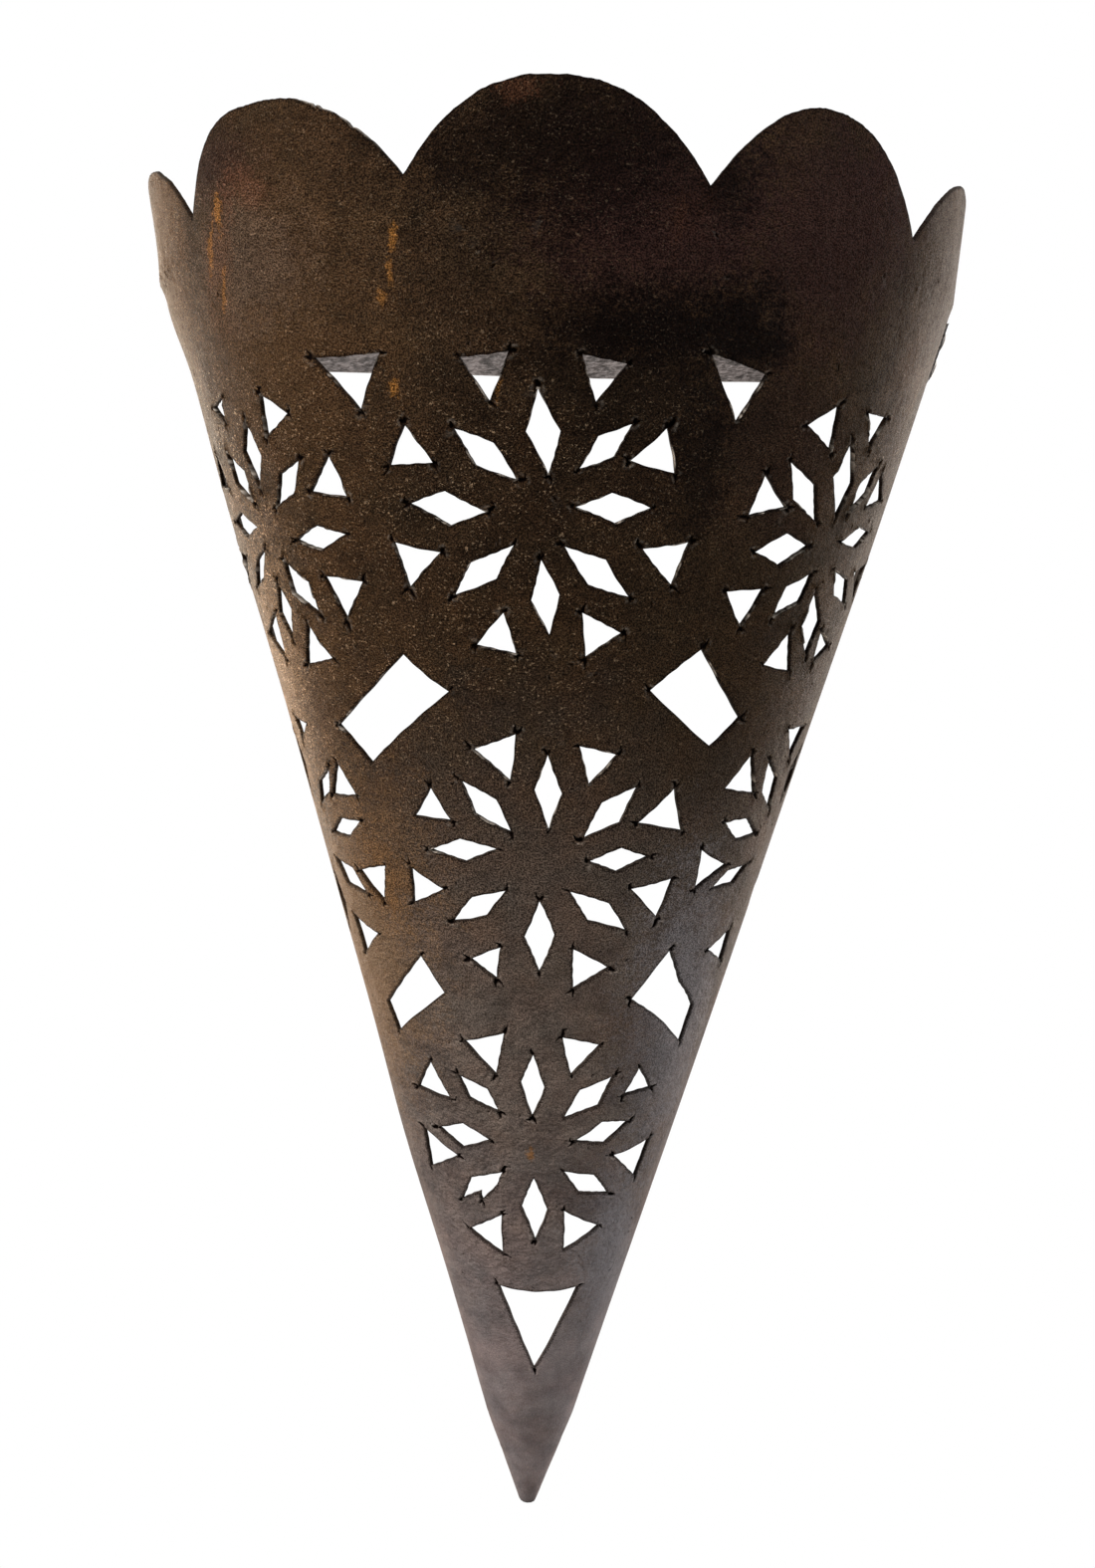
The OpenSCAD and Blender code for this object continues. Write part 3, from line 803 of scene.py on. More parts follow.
class NodeBench:
    """Adds nodes to a tree and links each one to what feeds it."""

    def __init__(self, tree):
        self.tree = tree

    def add(self, kind, feeds=None, **settings):
        """A node with its settings made and its inputs fed by values or by other nodes' outputs."""
        node = self.tree.nodes.new(kind)
        for name, value in settings.items():
            setattr(node, name, value)
        for socket, value in (feeds or {}).items():
            self.feed(node.inputs[socket], value)
        return node

    def feed(self, socket, value):
        """Links an output to an input, or sets the input's own value."""
        if isinstance(value, bpy.types.NodeSocket):
            self.tree.links.new(value, socket)
        elif socket.type == "RGBA":
            socket.default_value = (*value[:3], 1.0)
        else:
            socket.default_value = value

    def calc(self, operation, first, second=0.0, clamp=False):
        """A sum on two numbers."""
        node = self.add("ShaderNodeMath", {0: first, 1: second}, operation=operation, use_clamp=clamp)
        return node.outputs[0]

    def times(self, first, second):
        """Two numbers multiplied."""
        return self.calc("MULTIPLY", first, second)

    def plus(self, first, second):
        """Two numbers added."""
        return self.calc("ADD", first, second)

    def minus(self, first, second):
        """The second number taken from the first."""
        return self.calc("SUBTRACT", first, second)

    def mix(self, share, first, second, blend="MIX"):
        """Two colours mixed."""
        node = self.add("ShaderNodeMix", {0: share, 6: first, 7: second}, data_type="RGBA", blend_type=blend)
        return node.outputs[2]

    def between(self, value, start, end, low=0.0, high=1.0):
        """Eases from low to high as a value goes from start to end."""
        feeds = {"Value": value, "From Min": start, "From Max": end, "To Min": low, "To Max": high}
        return self.add("ShaderNodeMapRange", feeds, interpolation_type="SMOOTHSTEP").outputs[0]

    def grey(self, level):
        """A grey of some level."""
        return self.add("ShaderNodeCombineColor", {0: level, 1: level, 2: level}).outputs[0]

    def toned(self, colour, value, low, high):
        """A colour made low to high times as light, as a value goes from a quarter to three quarters."""
        return self.mix(1.0, colour, self.grey(self.between(value, 0.25, 0.75, low, high)), "MULTIPLY")

    def clouds(self, place, scale, detail=2.0, roughness=0.5):
        """Soft noise between 0 and 1."""
        feeds = {"Vector": place, "Scale": scale, "Detail": detail, "Roughness": roughness}
        return self.add("ShaderNodeTexNoise", feeds).outputs[0]

    def shift(self, place, offset):
        """A place moved by a fixed step, for noise that differs."""
        return self.add("ShaderNodeVectorMath", {0: place, 1: offset}, operation="ADD").outputs[0]

    def grouped(self, tree, feeds):
        """A node group placed in this tree, with its inputs fed."""
        node = self.tree.nodes.new("ShaderNodeGroup")
        node.node_tree = tree
        for socket, value in feeds.items():
            self.feed(node.inputs[socket], value)
        return node.outputs


def new_group(name, inputs, outputs):
    """An empty shader group with named sockets: its bench, its inputs and a way to feed its outputs."""
    tree = bpy.data.node_groups.new(name, "ShaderNodeTree")
    for socket, kind, default in inputs:
        made = tree.interface.new_socket(socket, in_out="INPUT", socket_type=kind)
        if default is not None:
            made.default_value = default
    for socket, kind in outputs:
        tree.interface.new_socket(socket, in_out="OUTPUT", socket_type=kind)
    bench = NodeBench(tree)
    sources = bench.add("NodeGroupInput").outputs
    ends = bench.add("NodeGroupOutput").inputs
    return bench, sources, ends


def iron_grit_group():
    """Grit of old iron: heights in millimetres of its leathery skin and its fine grit, grains that stand out,
    and tones of grit, hollows and slow mottle, which the sheet uses for painted glints, light and shade."""
    made = ("Skin", "Grit", "Grains", "Tone", "Hollows", "Mottle")
    bench, given, ends = new_group(
        "Iron Grit",
        (("Vector", "NodeSocketVector", None), ("Grains per Metre", "NodeSocketFloat", 1000.0)),
        [(name, "NodeSocketFloat") for name in made])
    scaled = bench.add("ShaderNodeVectorMath", {0: given["Vector"], "Scale": given["Grains per Metre"]},
                       operation="SCALE").outputs[0]
    fine = bench.clouds(scaled, 1.9, 2.0, 0.6)
    lumps = bench.clouds(bench.shift(scaled, (31, 7, 3)), 0.16, 2.0, 0.55)
    # Grains and skin are drawn out a little sideways
    drawn = bench.add("ShaderNodeMapping", {"Vector": scaled, "Scale": (0.85, 1.0, 1.0)}).outputs[0]
    skin = bench.clouds(bench.shift(drawn, (13, 41, 8)), 0.48, 2.0, 0.5)
    bent = bench.add("ShaderNodeTexNoise", {"Vector": scaled, "Scale": 0.7, "Detail": 2.0}).outputs["Color"]
    pebbled = bench.add("ShaderNodeVectorMath", {0: drawn, 1: bent}, operation="ADD").outputs["Vector"]
    pebbles = bench.add("ShaderNodeTexVoronoi", {"Vector": pebbled, "Scale": 0.85, "Smoothness": 0.6},
                        feature="SMOOTH_F1").outputs["Distance"]
    scuffed = bench.between(bench.clouds(bench.shift(scaled, (9, 55, 61)), 0.05, 2.0, 0.6), 0.55, 0.66)
    scuffs = bench.times(bench.clouds(drawn, 0.8, 4.0, 0.75), scuffed)
    standing = bench.between(bench.clouds(drawn, 1.4, 2.0, 0.6), 0.59, 0.65)
    flakes = bench.between(bench.clouds(bench.shift(drawn, (70, 2, 33)), 0.6, 3.0, 0.7), 0.64, 0.69)
    grains = bench.times(standing, bench.between(lumps, 0.42, 0.6, 0.1, 1.0))
    grains = bench.calc("MAXIMUM", grains, flakes)
    bumps = bench.between(bench.clouds(bench.shift(drawn, (44, 12, 70)), 0.85, 2.0, 0.55), 0.59, 0.65)
    pits = bench.between(bench.clouds(bench.shift(drawn, (5, 61, 20)), 0.75, 2.0, 0.55), 0.38, 0.33)
    relief = bench.times(skin, 0.75)
    for layer, rise in ((pebbles, -0.4), (lumps, 2.2), (bumps, 0.3), (pits, -0.25), (scuffs, 0.8)):
        relief = bench.plus(relief, bench.times(layer, rise))
    bench.feed(ends["Skin"], relief)
    bench.feed(ends["Grit"], bench.plus(bench.times(fine, 0.75), bench.times(grains, 0.3)))
    bench.feed(ends["Hollows"], bench.times(bench.between(skin, 0.32, 0.6, 0.5, 0.8), bench.minus(1.0, pits)))
    bench.feed(ends["Grains"], grains)
    bench.feed(ends["Tone"], bench.between(fine, 0.33, 0.67))
    bench.feed(ends["Mottle"], bench.clouds(bench.shift(scaled, (5, 90, 17)), 0.07, 6.0, 0.7))
    return bench.tree


def soft_stain_group():
    """A ragged elliptic stain: its strength at each place of the flat sheet."""
    bench, given, ends = new_group(
        "Soft Stain",
        (("Vector", "NodeSocketVector", None), ("Middle", "NodeSocketVector", None),
         ("Half Size", "NodeSocketVector", (0.01, 0.01, 1.0)), ("Turn", "NodeSocketVector", None),
         ("Ragged", "NodeSocketFloat", 0.8), ("Strength", "NodeSocketFloat", 1.0),
         ("Wobble", "NodeSocketFloat", 0.0)),
        (("Mask", "NodeSocketFloat"),))
    own = bench.add("ShaderNodeMapping", {"Vector": given["Vector"], "Location": given["Middle"],
                                          "Rotation": given["Turn"], "Scale": given["Half Size"]},
                    vector_type="TEXTURE").outputs[0]
    reach = bench.add("ShaderNodeVectorMath", {0: own}, operation="LENGTH").outputs["Value"]
    ragged = bench.times(given["Wobble"], bench.times(given["Ragged"], 2.2))
    mask = bench.between(bench.plus(reach, ragged), 1.1, 0.25)
    bench.feed(ends["Mask"], bench.calc("MULTIPLY", mask, given["Strength"], clamp=True))
    return bench.tree


def rust_bloom_group():
    """Scattered rust: where it blooms, more or less of it by amount."""
    bench, given, ends = new_group(
        "Rust Bloom",
        (("Vector", "NodeSocketVector", None), ("Amount", "NodeSocketFloat", 0.3)),
        (("Mask", "NodeSocketFloat"),))
    broad = bench.clouds(given["Vector"], 38.0, 4.0, 0.6)
    fine = bench.clouds(bench.shift(given["Vector"], (3, 1, 2)), 520.0, 3.0, 0.65)
    both = bench.plus(bench.times(broad, 0.65), bench.times(fine, 0.35))
    line = bench.minus(0.72, bench.times(given["Amount"], 0.25))
    bench.feed(ends["Mask"], bench.between(bench.minus(both, line), 0.0, 0.1))
    return bench.tree


def new_material(name):
    """A material with nothing but a shader and an output: its bench and its shader."""
    material = bpy.data.materials.new(name)
    material.use_nodes = True
    material.node_tree.nodes.clear()
    bench = NodeBench(material.node_tree)
    shader = bench.add("ShaderNodeBsdfPrincipled")
    output = bench.add("ShaderNodeOutputMaterial")
    bench.feed(output.inputs["Surface"], shader.outputs[0])
    return material, bench, shader


def feed_surface(bench, shader, colour, rough, height, depth, gloss, strength=1.0):
    """Feeds a shader its colour, its roughness and bumps of some depth, and sets its gloss."""
    bench.feed(shader.inputs["Base Color"], colour)
    bench.feed(shader.inputs["Roughness"], rough)
    bump = bench.add("ShaderNodeBump", {"Height": height, "Strength": strength, "Distance": depth})
    bench.feed(shader.inputs["Normal"], bump.outputs[0])
    shader.inputs["Specular IOR Level"].default_value = gloss


def patina_ground(bench, settings, flat, row, mottle):
    """Umber above, through taupe, to ash at the point, with clouds of tan and of lighter and darker;
    the paler point is partly patina and partly a painted reflection of the pale surroundings below.
    """
    low_row = bench.plus(row, bench.times(bench.minus(mottle, 0.5), 0.1))
    colour = bench.mix(bench.between(low_row, 0.36, 0.2), settings.umber, settings.taupe)
    colour = bench.mix(bench.between(low_row, 0.22, 0.06), colour, settings.ash)
    wide = bench.clouds(flat, 26.0, 6.0, 0.7)
    colour = bench.mix(bench.between(wide, 0.45, 0.75, 0.0, 0.25), colour, settings.tan)
    colour = bench.toned(colour, mottle, 0.65, 1.4)
    blush = bench.between(bench.clouds(bench.shift(flat, (3, 1, 2)), 42.0, 5.0, 0.65), 0.38, 0.62)
    cooler = (0.97, 1.0, 1.015)
    warmer = (1.04, 0.99, 0.98)
    return bench.mix(1.0, colour, bench.mix(blush, cooler, warmer), "MULTIPLY")


def stained(bench, settings, stain_group, flat, colour):
    """A colour with the sheet's stains laid over it, one after the other."""
    coarse = bench.times(bench.clouds(flat, 110.0, 3.0, 0.65), 0.7)
    fine = bench.times(bench.clouds(flat, 800.0, 2.0, 0.6), 0.8)
    wobble = bench.minus(bench.plus(coarse, fine), 0.75)
    for tint, middle, half, turn, ragged, strength in STAINS:
        stain = bench.grouped(stain_group, {
            "Vector": flat, "Middle": (middle[0] * MM, middle[1] * MM, 0),
            "Half Size": (half[0] * MM, half[1] * MM, 1), "Turn": (0, 0, math.radians(-turn)),
            "Ragged": ragged, "Strength": strength, "Wobble": wobble})
        colour = bench.mix(stain["Mask"], colour, getattr(settings, tint))
    return colour


def grit_shares(bench, flat, row):
    """How leathery, how shaded in its hollows, how gritty and how speckled the sheet is, by its place.

    All of it fades towards the point, and grit and speckles also on the crown and to the right."""
    across = bench.add("ShaderNodeSeparateXYZ", {0: flat}).outputs["X"]
    turn_share = bench.calc("DIVIDE", bench.calc("ABSOLUTE", across), row)
    facing = bench.between(turn_share, 0.2, 0.36, 1.0, 0.35)
    leathery = bench.times(bench.between(row, 0.07, 0.15, 0.2, 1.0), facing)
    hollow_shaded = bench.times(leathery, bench.between(row, 0.24, 0.33, 0.35, 1.0))
    gritty = bench.times(bench.between(row, 0.12, 0.32, 0.25, 1.0), facing)
    gritty = bench.times(gritty, bench.between(across, 0.08, 0.0, 0.8, 1.0))
    gritty = bench.times(gritty, bench.between(row, *CROWN_ROWS, 1.0, 0.65))
    gritty = bench.times(gritty, bench.between(row, 0.27, 0.33, 1.0, 2.0))
    speckled = bench.times(bench.between(row, 0.25, 0.34, 0.05, 1.0),
                           bench.between(across, 0.06, -0.02, 0.3, 1.0))
    speckled = bench.times(speckled, bench.between(row, *CROWN_ROWS, 1.0, 0.4))
    return leathery, hollow_shaded, gritty, speckled


def shade_material(settings, groups):
    """Patina of the sheet: umber to taupe and ash, stained and gritty, with painted glints, painted light and
    shade on its relief, and painted shade at the cut edges and in the chisel marks.
    """
    material, bench, shader = new_material("shade_patina")
    flat = bench.add("ShaderNodeAttribute", attribute_name="flat").outputs["Vector"]
    edge, groove, burr, inside = (bench.add("ShaderNodeAttribute", attribute_name=name).outputs["Fac"]
                                  for name in ("edge", "groove", "burr", "inside"))
    row = bench.add("ShaderNodeVectorMath", {0: flat}, operation="LENGTH").outputs["Value"]
    grit = bench.grouped(groups["grit"], {"Vector": flat, "Grains per Metre": 1000.0})
    colour = patina_ground(bench, settings, flat, row, grit["Mottle"])
    colour = stained(bench, settings, groups["stain"], flat, colour)
    # Fresh rust blooms most beside the cut edges
    by_edge = bench.between(edge, 0.004, 0.0, 0.1, 0.42)
    bloom = bench.grouped(groups["rust"], {"Vector": flat, "Amount": by_edge})
    colour = bench.mix(bench.times(bloom["Mask"], 0.45), colour, settings.ochre)
    leathery, hollow_shaded, gritty, speckled = grit_shares(bench, flat, row)
    # Painted shade in the hollows and pits of the leathery relief, and painted light on its crests
    colour = bench.mix(hollow_shaded, colour, bench.toned(colour, grit["Hollows"], 0.6, 1.15))
    # Painted light on the crests of the fine grit and painted shade in its hollows, where the sheet is gritty
    colour = bench.mix(gritty, colour, bench.toned(colour, grit["Tone"], 0.4, 1.7))
    # Grains are painted much lighter as glints, and shine a little as worn metal
    rubbed_glints = bench.times(grit["Grains"], speckled)
    lighter = bench.mix(1.0, colour, (6, 6, 6), "MULTIPLY")
    colour = bench.mix(bench.times(rubbed_glints, 0.9), colour, bench.mix(0.5, settings.grain_glint, lighter))
    bench.feed(shader.inputs["Metallic"], bench.times(rubbed_glints, 0.45))
    # Soot lies inside; the cut edges and the chisel marks are darkened as painted shade, and burrs are bare
    # metal with a painted highlight
    colour = bench.mix(bench.times(inside, 0.45), colour, settings.soot_and_shade)
    # A dark band along every cut edge, a little ragged: painted shade of the rounded lips
    uneven = bench.times(bench.minus(grit["Tone"], 0.5), 0.0008)
    lip = bench.between(bench.plus(edge, uneven), 0.0012, 0.0002, 0.0, 0.75)
    colour = bench.mix(lip, colour, settings.soot_and_shade)
    # The chisel marks are painted black: painted shade in their grooves
    colour = bench.mix(bench.between(groove, 0.05, 0.4), colour, settings.soot_and_shade)
    # Burrs are bare metal, painted bright as the highlight they catch too; the chipped rim is worn bare
    colour = bench.mix(bench.times(burr, 0.9), colour, settings.steel_and_highlight)
    rough = bench.minus(bench.between(grit["Hollows"], 0.2, 0.8, 0.7, 0.55), bench.times(rubbed_glints, 0.15))
    height = bench.plus(bench.times(grit["Skin"], leathery), bench.times(grit["Grit"], gritty))
    feed_surface(bench, shader, colour, rough, height, MM, PATINA_GLOSS)
    return material


def strap_material(settings, rust, groups):
    """Forged grey bar with a little rust, dark in the troughs of its wrinkles and grey on their crests as
    painted shade and light.
    """
    material, bench, shader = new_material("strap_forged_grey")
    place = bench.add("ShaderNodeTexCoord").outputs["Object"]
    grit = bench.grouped(groups["grit"], {"Vector": place, "Grains per Metre": 900.0})
    # Wrinkles are drawn out along the bar
    drawn = bench.add("ShaderNodeMapping", {"Vector": place, "Scale": (380, 380, 950)}).outputs[0]
    wrinkle = bench.clouds(drawn, 1.0, 3.0, 0.6)
    # Colour follows the wrinkles' height: painted shade in their troughs, painted light on their crests
    colour = bench.mix(bench.between(wrinkle, 0.34, 0.6), settings.dark, settings.grey)
    colour = bench.toned(colour, grit["Mottle"], 0.7, 1.35)
    bloom = bench.grouped(groups["rust"], {"Vector": place, "Amount": 0.35})
    colour = bench.mix(bench.times(bloom["Mask"], 0.5), colour, rust)
    rough = bench.between(wrinkle, 0.3, 0.7, 0.72, 0.5)
    height = bench.plus(wrinkle, bench.times(grit["Skin"], 0.4))
    feed_surface(bench, shader, colour, rough, height, 0.9 * MM, IRON_GLOSS)
    return material


def rivet_material(settings, rust, groups):
    """Dark hammered iron with fine grit and a little rust."""
    material, bench, shader = new_material("rivet_hammered_iron")
    place = bench.add("ShaderNodeTexCoord").outputs["Object"]
    grit = bench.grouped(groups["grit"], {"Vector": place, "Grains per Metre": 1500.0})
    colour = bench.toned(settings.iron, grit["Tone"], 0.5, 1.7)
    bloom = bench.grouped(groups["rust"], {"Vector": place, "Amount": 0.6})
    colour = bench.mix(bench.times(bloom["Mask"], 0.4), colour, rust)
    rough = bench.between(grit["Hollows"], 0.2, 0.8, 0.65, 0.42)
    feed_surface(bench, shader, colour, rough, grit["Skin"], 0.1 * MM, IRON_GLOSS, strength=0.6)
    return material


def shared_groups():
    """The node groups that the materials are made with, each built once."""
    makers = {"grit": ("Iron Grit", iron_grit_group), "stain": ("Soft Stain", soft_stain_group),
              "rust": ("Rust Bloom", rust_bloom_group)}
    return {key: bpy.data.node_groups.get(name) or make() for key, (name, make) in makers.items()}


def make_active(thing):
    """Selects one object alone."""
    bpy.ops.object.select_all(action="DESELECT")
    thing.select_set(True)
    bpy.context.view_layer.objects.active = thing


def smooth_below(thing, angle):
    """Shades an object smooth, apart from edges sharper than an angle in degrees."""
    make_active(thing)
    bpy.ops.object.shade_smooth_by_angle(angle=math.radians(angle))


def apply_modifier(thing, kind, **settings):
    """Adds a modifier, sets it and applies it."""
    make_active(thing)
    modifier = thing.modifiers.new(kind.lower(), kind)
    for name, value in settings.items():
        setattr(modifier, name, value)
    bpy.ops.object.modifier_apply(modifier=modifier.name)


def mount_piece(piece, node, material):
    """Gives a finished piece its material and its place in the frame."""
    piece.data.materials.clear()
    piece.data.materials.append(material)
    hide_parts(node)
    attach(piece, "root")


def check_closed(piece):
    """Stops if a piece's surface has an open edge."""
    counts = np.zeros(len(piece.data.edges), int)
    for polygon in piece.data.polygons:
        for loop in polygon.loop_indices:
            counts[piece.data.loops[loop].edge_index] += 1
    if (counts != 2).any():
        raise RuntimeError(f"{piece.name}: {int((counts != 2).sum())} edges aren't shared by two faces")


class SCONCE_OT_shade(bpy.types.Operator):
    """Cuts the flat sheet, gives it thickness and bends it to the cone"""

    bl_idname = "sconce.shade"
    bl_label = "Pierced Shade"

    # Distance from a cut line within which a point is on it, and how far its back is pushed inwards there
    ON_CUT = 0.01
    PUSHED = 0.1

    def execute(self, context):
        settings = context.scene.sconce_shade
        sheet = FlatSheet(settings, context.scene.sconce_rivets)
        sheet.lay_out()
        sheet.edge_lips()
        sheet.edge_rings()
        sheet.stray_marks()
        sheet.nick_points()
        sheet.plain_points()
        spots, lips, burrs, faces = sheet.triangles()
        edge = sheet.edge_gaps(spots)
        on_cut = edge < self.ON_CUT
        grooves, thrown = (np.where(on_cut, 0, depths) for depths in sheet.grooves(spots))
        dents = sheet.dents(spots)
        front = sheet.bend(spots, dents + lips + thrown - grooves)
        # The chisel has pushed the back of each cut edge a little inwards
        pushed = np.where(on_cut, self.PUSHED, 0)
        back = sheet.bend(spots, dents - settings.sheet_thickness / MM - pushed)
        shade = self.thick(context, front, back, faces)
        none = np.zeros(len(spots))
        # Lips thrown up beside the chisel marks also get the bare metal and its painted highlight
        patchy = np.array([noise.noise(Vector((x * 0.9, y * 0.9, 6.1))) for x, y in spots])
        burrs = np.maximum(burrs, 0.3 * clamp01(thrown * 5 * (0.2 + patchy)))
        flat = np.concatenate([np.c_[spots * MM, none]] * 2)
        shade.data.attributes.new("flat", "FLOAT_VECTOR", "POINT").data.foreach_set("vector", flat.ravel())
        for name, front_values, back_values in (("edge", edge * MM, edge * MM), ("groove", grooves, none),
                                                ("burr", burrs, none), ("inside", none, none + 1)):
            values = np.concatenate([front_values, back_values])
            shade.data.attributes.new(name, "FLOAT", "POINT").data.foreach_set("value", values)
        smooth_below(shade, 38)
        check_closed(shade)
        mount_piece(shade, "pierced_shade", shade_material(settings, shared_groups()))
        return {"FINISHED"}

    def thick(self, context, front, back, faces):
        """The sheet as an object: its front, its back and the walls along its cut lines."""
        count = len(front)
        edges = {(f[k], f[(k + 1) % 3]) for f in faces for k in range(3)}
        walls = sorted((b, a, a + count, b + count) for a, b in edges if (b, a) not in edges)
        linings = [tuple(v + count for v in reversed(f)) for f in faces]
        mesh = bpy.data.meshes.new("pierced_shade_iron")
        mesh.from_pydata([tuple(p) for p in np.concatenate([front, back])], [], faces + linings + walls)
        mesh.update()
        shade = bpy.data.objects.new("pierced_shade_iron", mesh)
        context.scene.collection.objects.link(shade)
        return shade


class SCONCE_OT_strap(bpy.types.Operator):
    """Bends a flat bar across the open back, with its ends over the sheet's outside"""

    bl_idname = "sconce.strap"
    bl_label = "Back Strap"

    # Steps of the bar's mesh, and lengths of the drills for screws and rivets
    STEPS_ALONG = 290
    STEPS_UP = 44
    SCREW_DRILL = 10 * MM
    RIVET_DRILL = 8 * MM

    def execute(self, context):
        settings = context.scene.sconce_strap
        rivets = context.scene.sconce_rivets
        width = STRAP_HIGH.z - STRAP_LOW.z
        bpy.ops.object.select_all(action="DESELECT")
        bpy.ops.mesh.primitive_grid_add(x_subdivisions=self.STEPS_ALONG, y_subdivisions=self.STEPS_UP,
                                        size=2)
        strap = context.object
        strap.name = strap.data.name = "back_strap_bar"
        apply_modifier(strap, "SOLIDIFY", thickness=settings.thickness, offset=-1.0)
        for vertex in strap.data.vertices:
            vertex.co = self.bent(settings, vertex.co.x, vertex.co.y * width / 2, -vertex.co.z)
        strap.data.flip_normals()
        self.forge(strap, width)
        self.drill(context, strap, settings, rivets)
        smooth_below(strap, 42)
        material = strap_material(settings, context.scene.sconce_shade.rust, shared_groups())
        mount_piece(strap, "back_strap", material)
        return {"FINISHED"}

    def bent(self, settings, along, level, depth):
        """Place in the bar: along goes from -1 to 1 from end to end, level is up, depth is from the back."""
        side = 1 if along >= 0 else -1
        radius = (STRAP_MIDDLE_H + level) * math.tan(CONE_SLANT)
        radius += (settings.gap + settings.thickness) / math.cos(CONE_SLANT)
        turn = settings.bend_radius
        straight = radius - turn
        quarter = turn * math.pi / 2
        run = abs(along) * (straight + quarter + settings.lap - turn)
        if run < straight:
            x, y = run, STRAP_HIGH.y - depth
        elif run < straight + quarter:
            angle = (run - straight) / turn
            x = straight + (turn - depth) * math.sin(angle)
            y = STRAP_HIGH.y - turn + (turn - depth) * math.cos(angle)
        else:
            past = run - straight - quarter
            angle = (past + turn + AXIS_Y - STRAP_HIGH.y) / radius
            worn = settings.thinning * min(1, past / (3 * MM))
            radius -= worn + depth * (1 - worn / settings.thickness)
            x = radius * math.cos(angle)
            y = AXIS_Y - radius * math.sin(angle)
        return Vector((side * x, y, POINT_Z + STRAP_MIDDLE_H + level))

    def forge(self, strap, width):
        """Wrinkles drawn along the bar and a slightly uneven lower and upper edge."""
        normals = [vertex.normal.copy() for vertex in strap.data.vertices]
        for vertex, normal in zip(strap.data.vertices, normals):
            x, _y, z = vertex.co / MM
            wrinkle = noise.noise(Vector((x * 0.22, z * 1.05, 0.5)))
            wrinkle += 0.5 * noise.noise(Vector((x * 0.8, z * 2.1, 3)))
            broad = noise.noise(Vector((x * 0.06, z * 0.1, 7)))
            depth = 0.1 + 0.09 * wrinkle + 0.06 * broad
            vertex.co -= normal * max(0.0, depth) * MM
            outer_tenth = max(0.0, abs(z) * MM / (width / 2) - 0.9) * 10
            vertex.co.z -= math.copysign(0.25 * MM, z) * outer_tenth * (0.5 + 0.5 * broad)

    def drill(self, context, strap, settings, rivets):
        """Two screw holes and the holes of the four rivets."""
        cutters = []
        for side in (-1, 1):
            place = (side * settings.screw_step / 2, STRAP_HIGH.y, POINT_Z + STRAP_MIDDLE_H)
            bpy.ops.mesh.primitive_cylinder_add(vertices=48, radius=settings.screw_hole / 2,
                                                depth=self.SCREW_DRILL, location=place,
                                                rotation=(math.pi / 2, 0, 0))
            cutters.append(context.object)
        for _name, height, angle in rivet_places(rivets):
            bpy.ops.mesh.primitive_cylinder_add(vertices=32, radius=rivets.shank / 2 + rivets.clearance,
                                                depth=self.RIVET_DRILL)
            context.object.matrix_world = on_cone(height, angle)
            cutters.append(context.object)
        bpy.ops.object.select_all(action="DESELECT")
        for cutter in cutters:
            cutter.select_set(True)
        context.view_layer.objects.active = cutters[0]
        bpy.ops.object.join()
        drills = context.object
        apply_modifier(strap, "BOOLEAN", operation="DIFFERENCE", solver="EXACT", object=drills)
        bpy.data.objects.remove(drills)


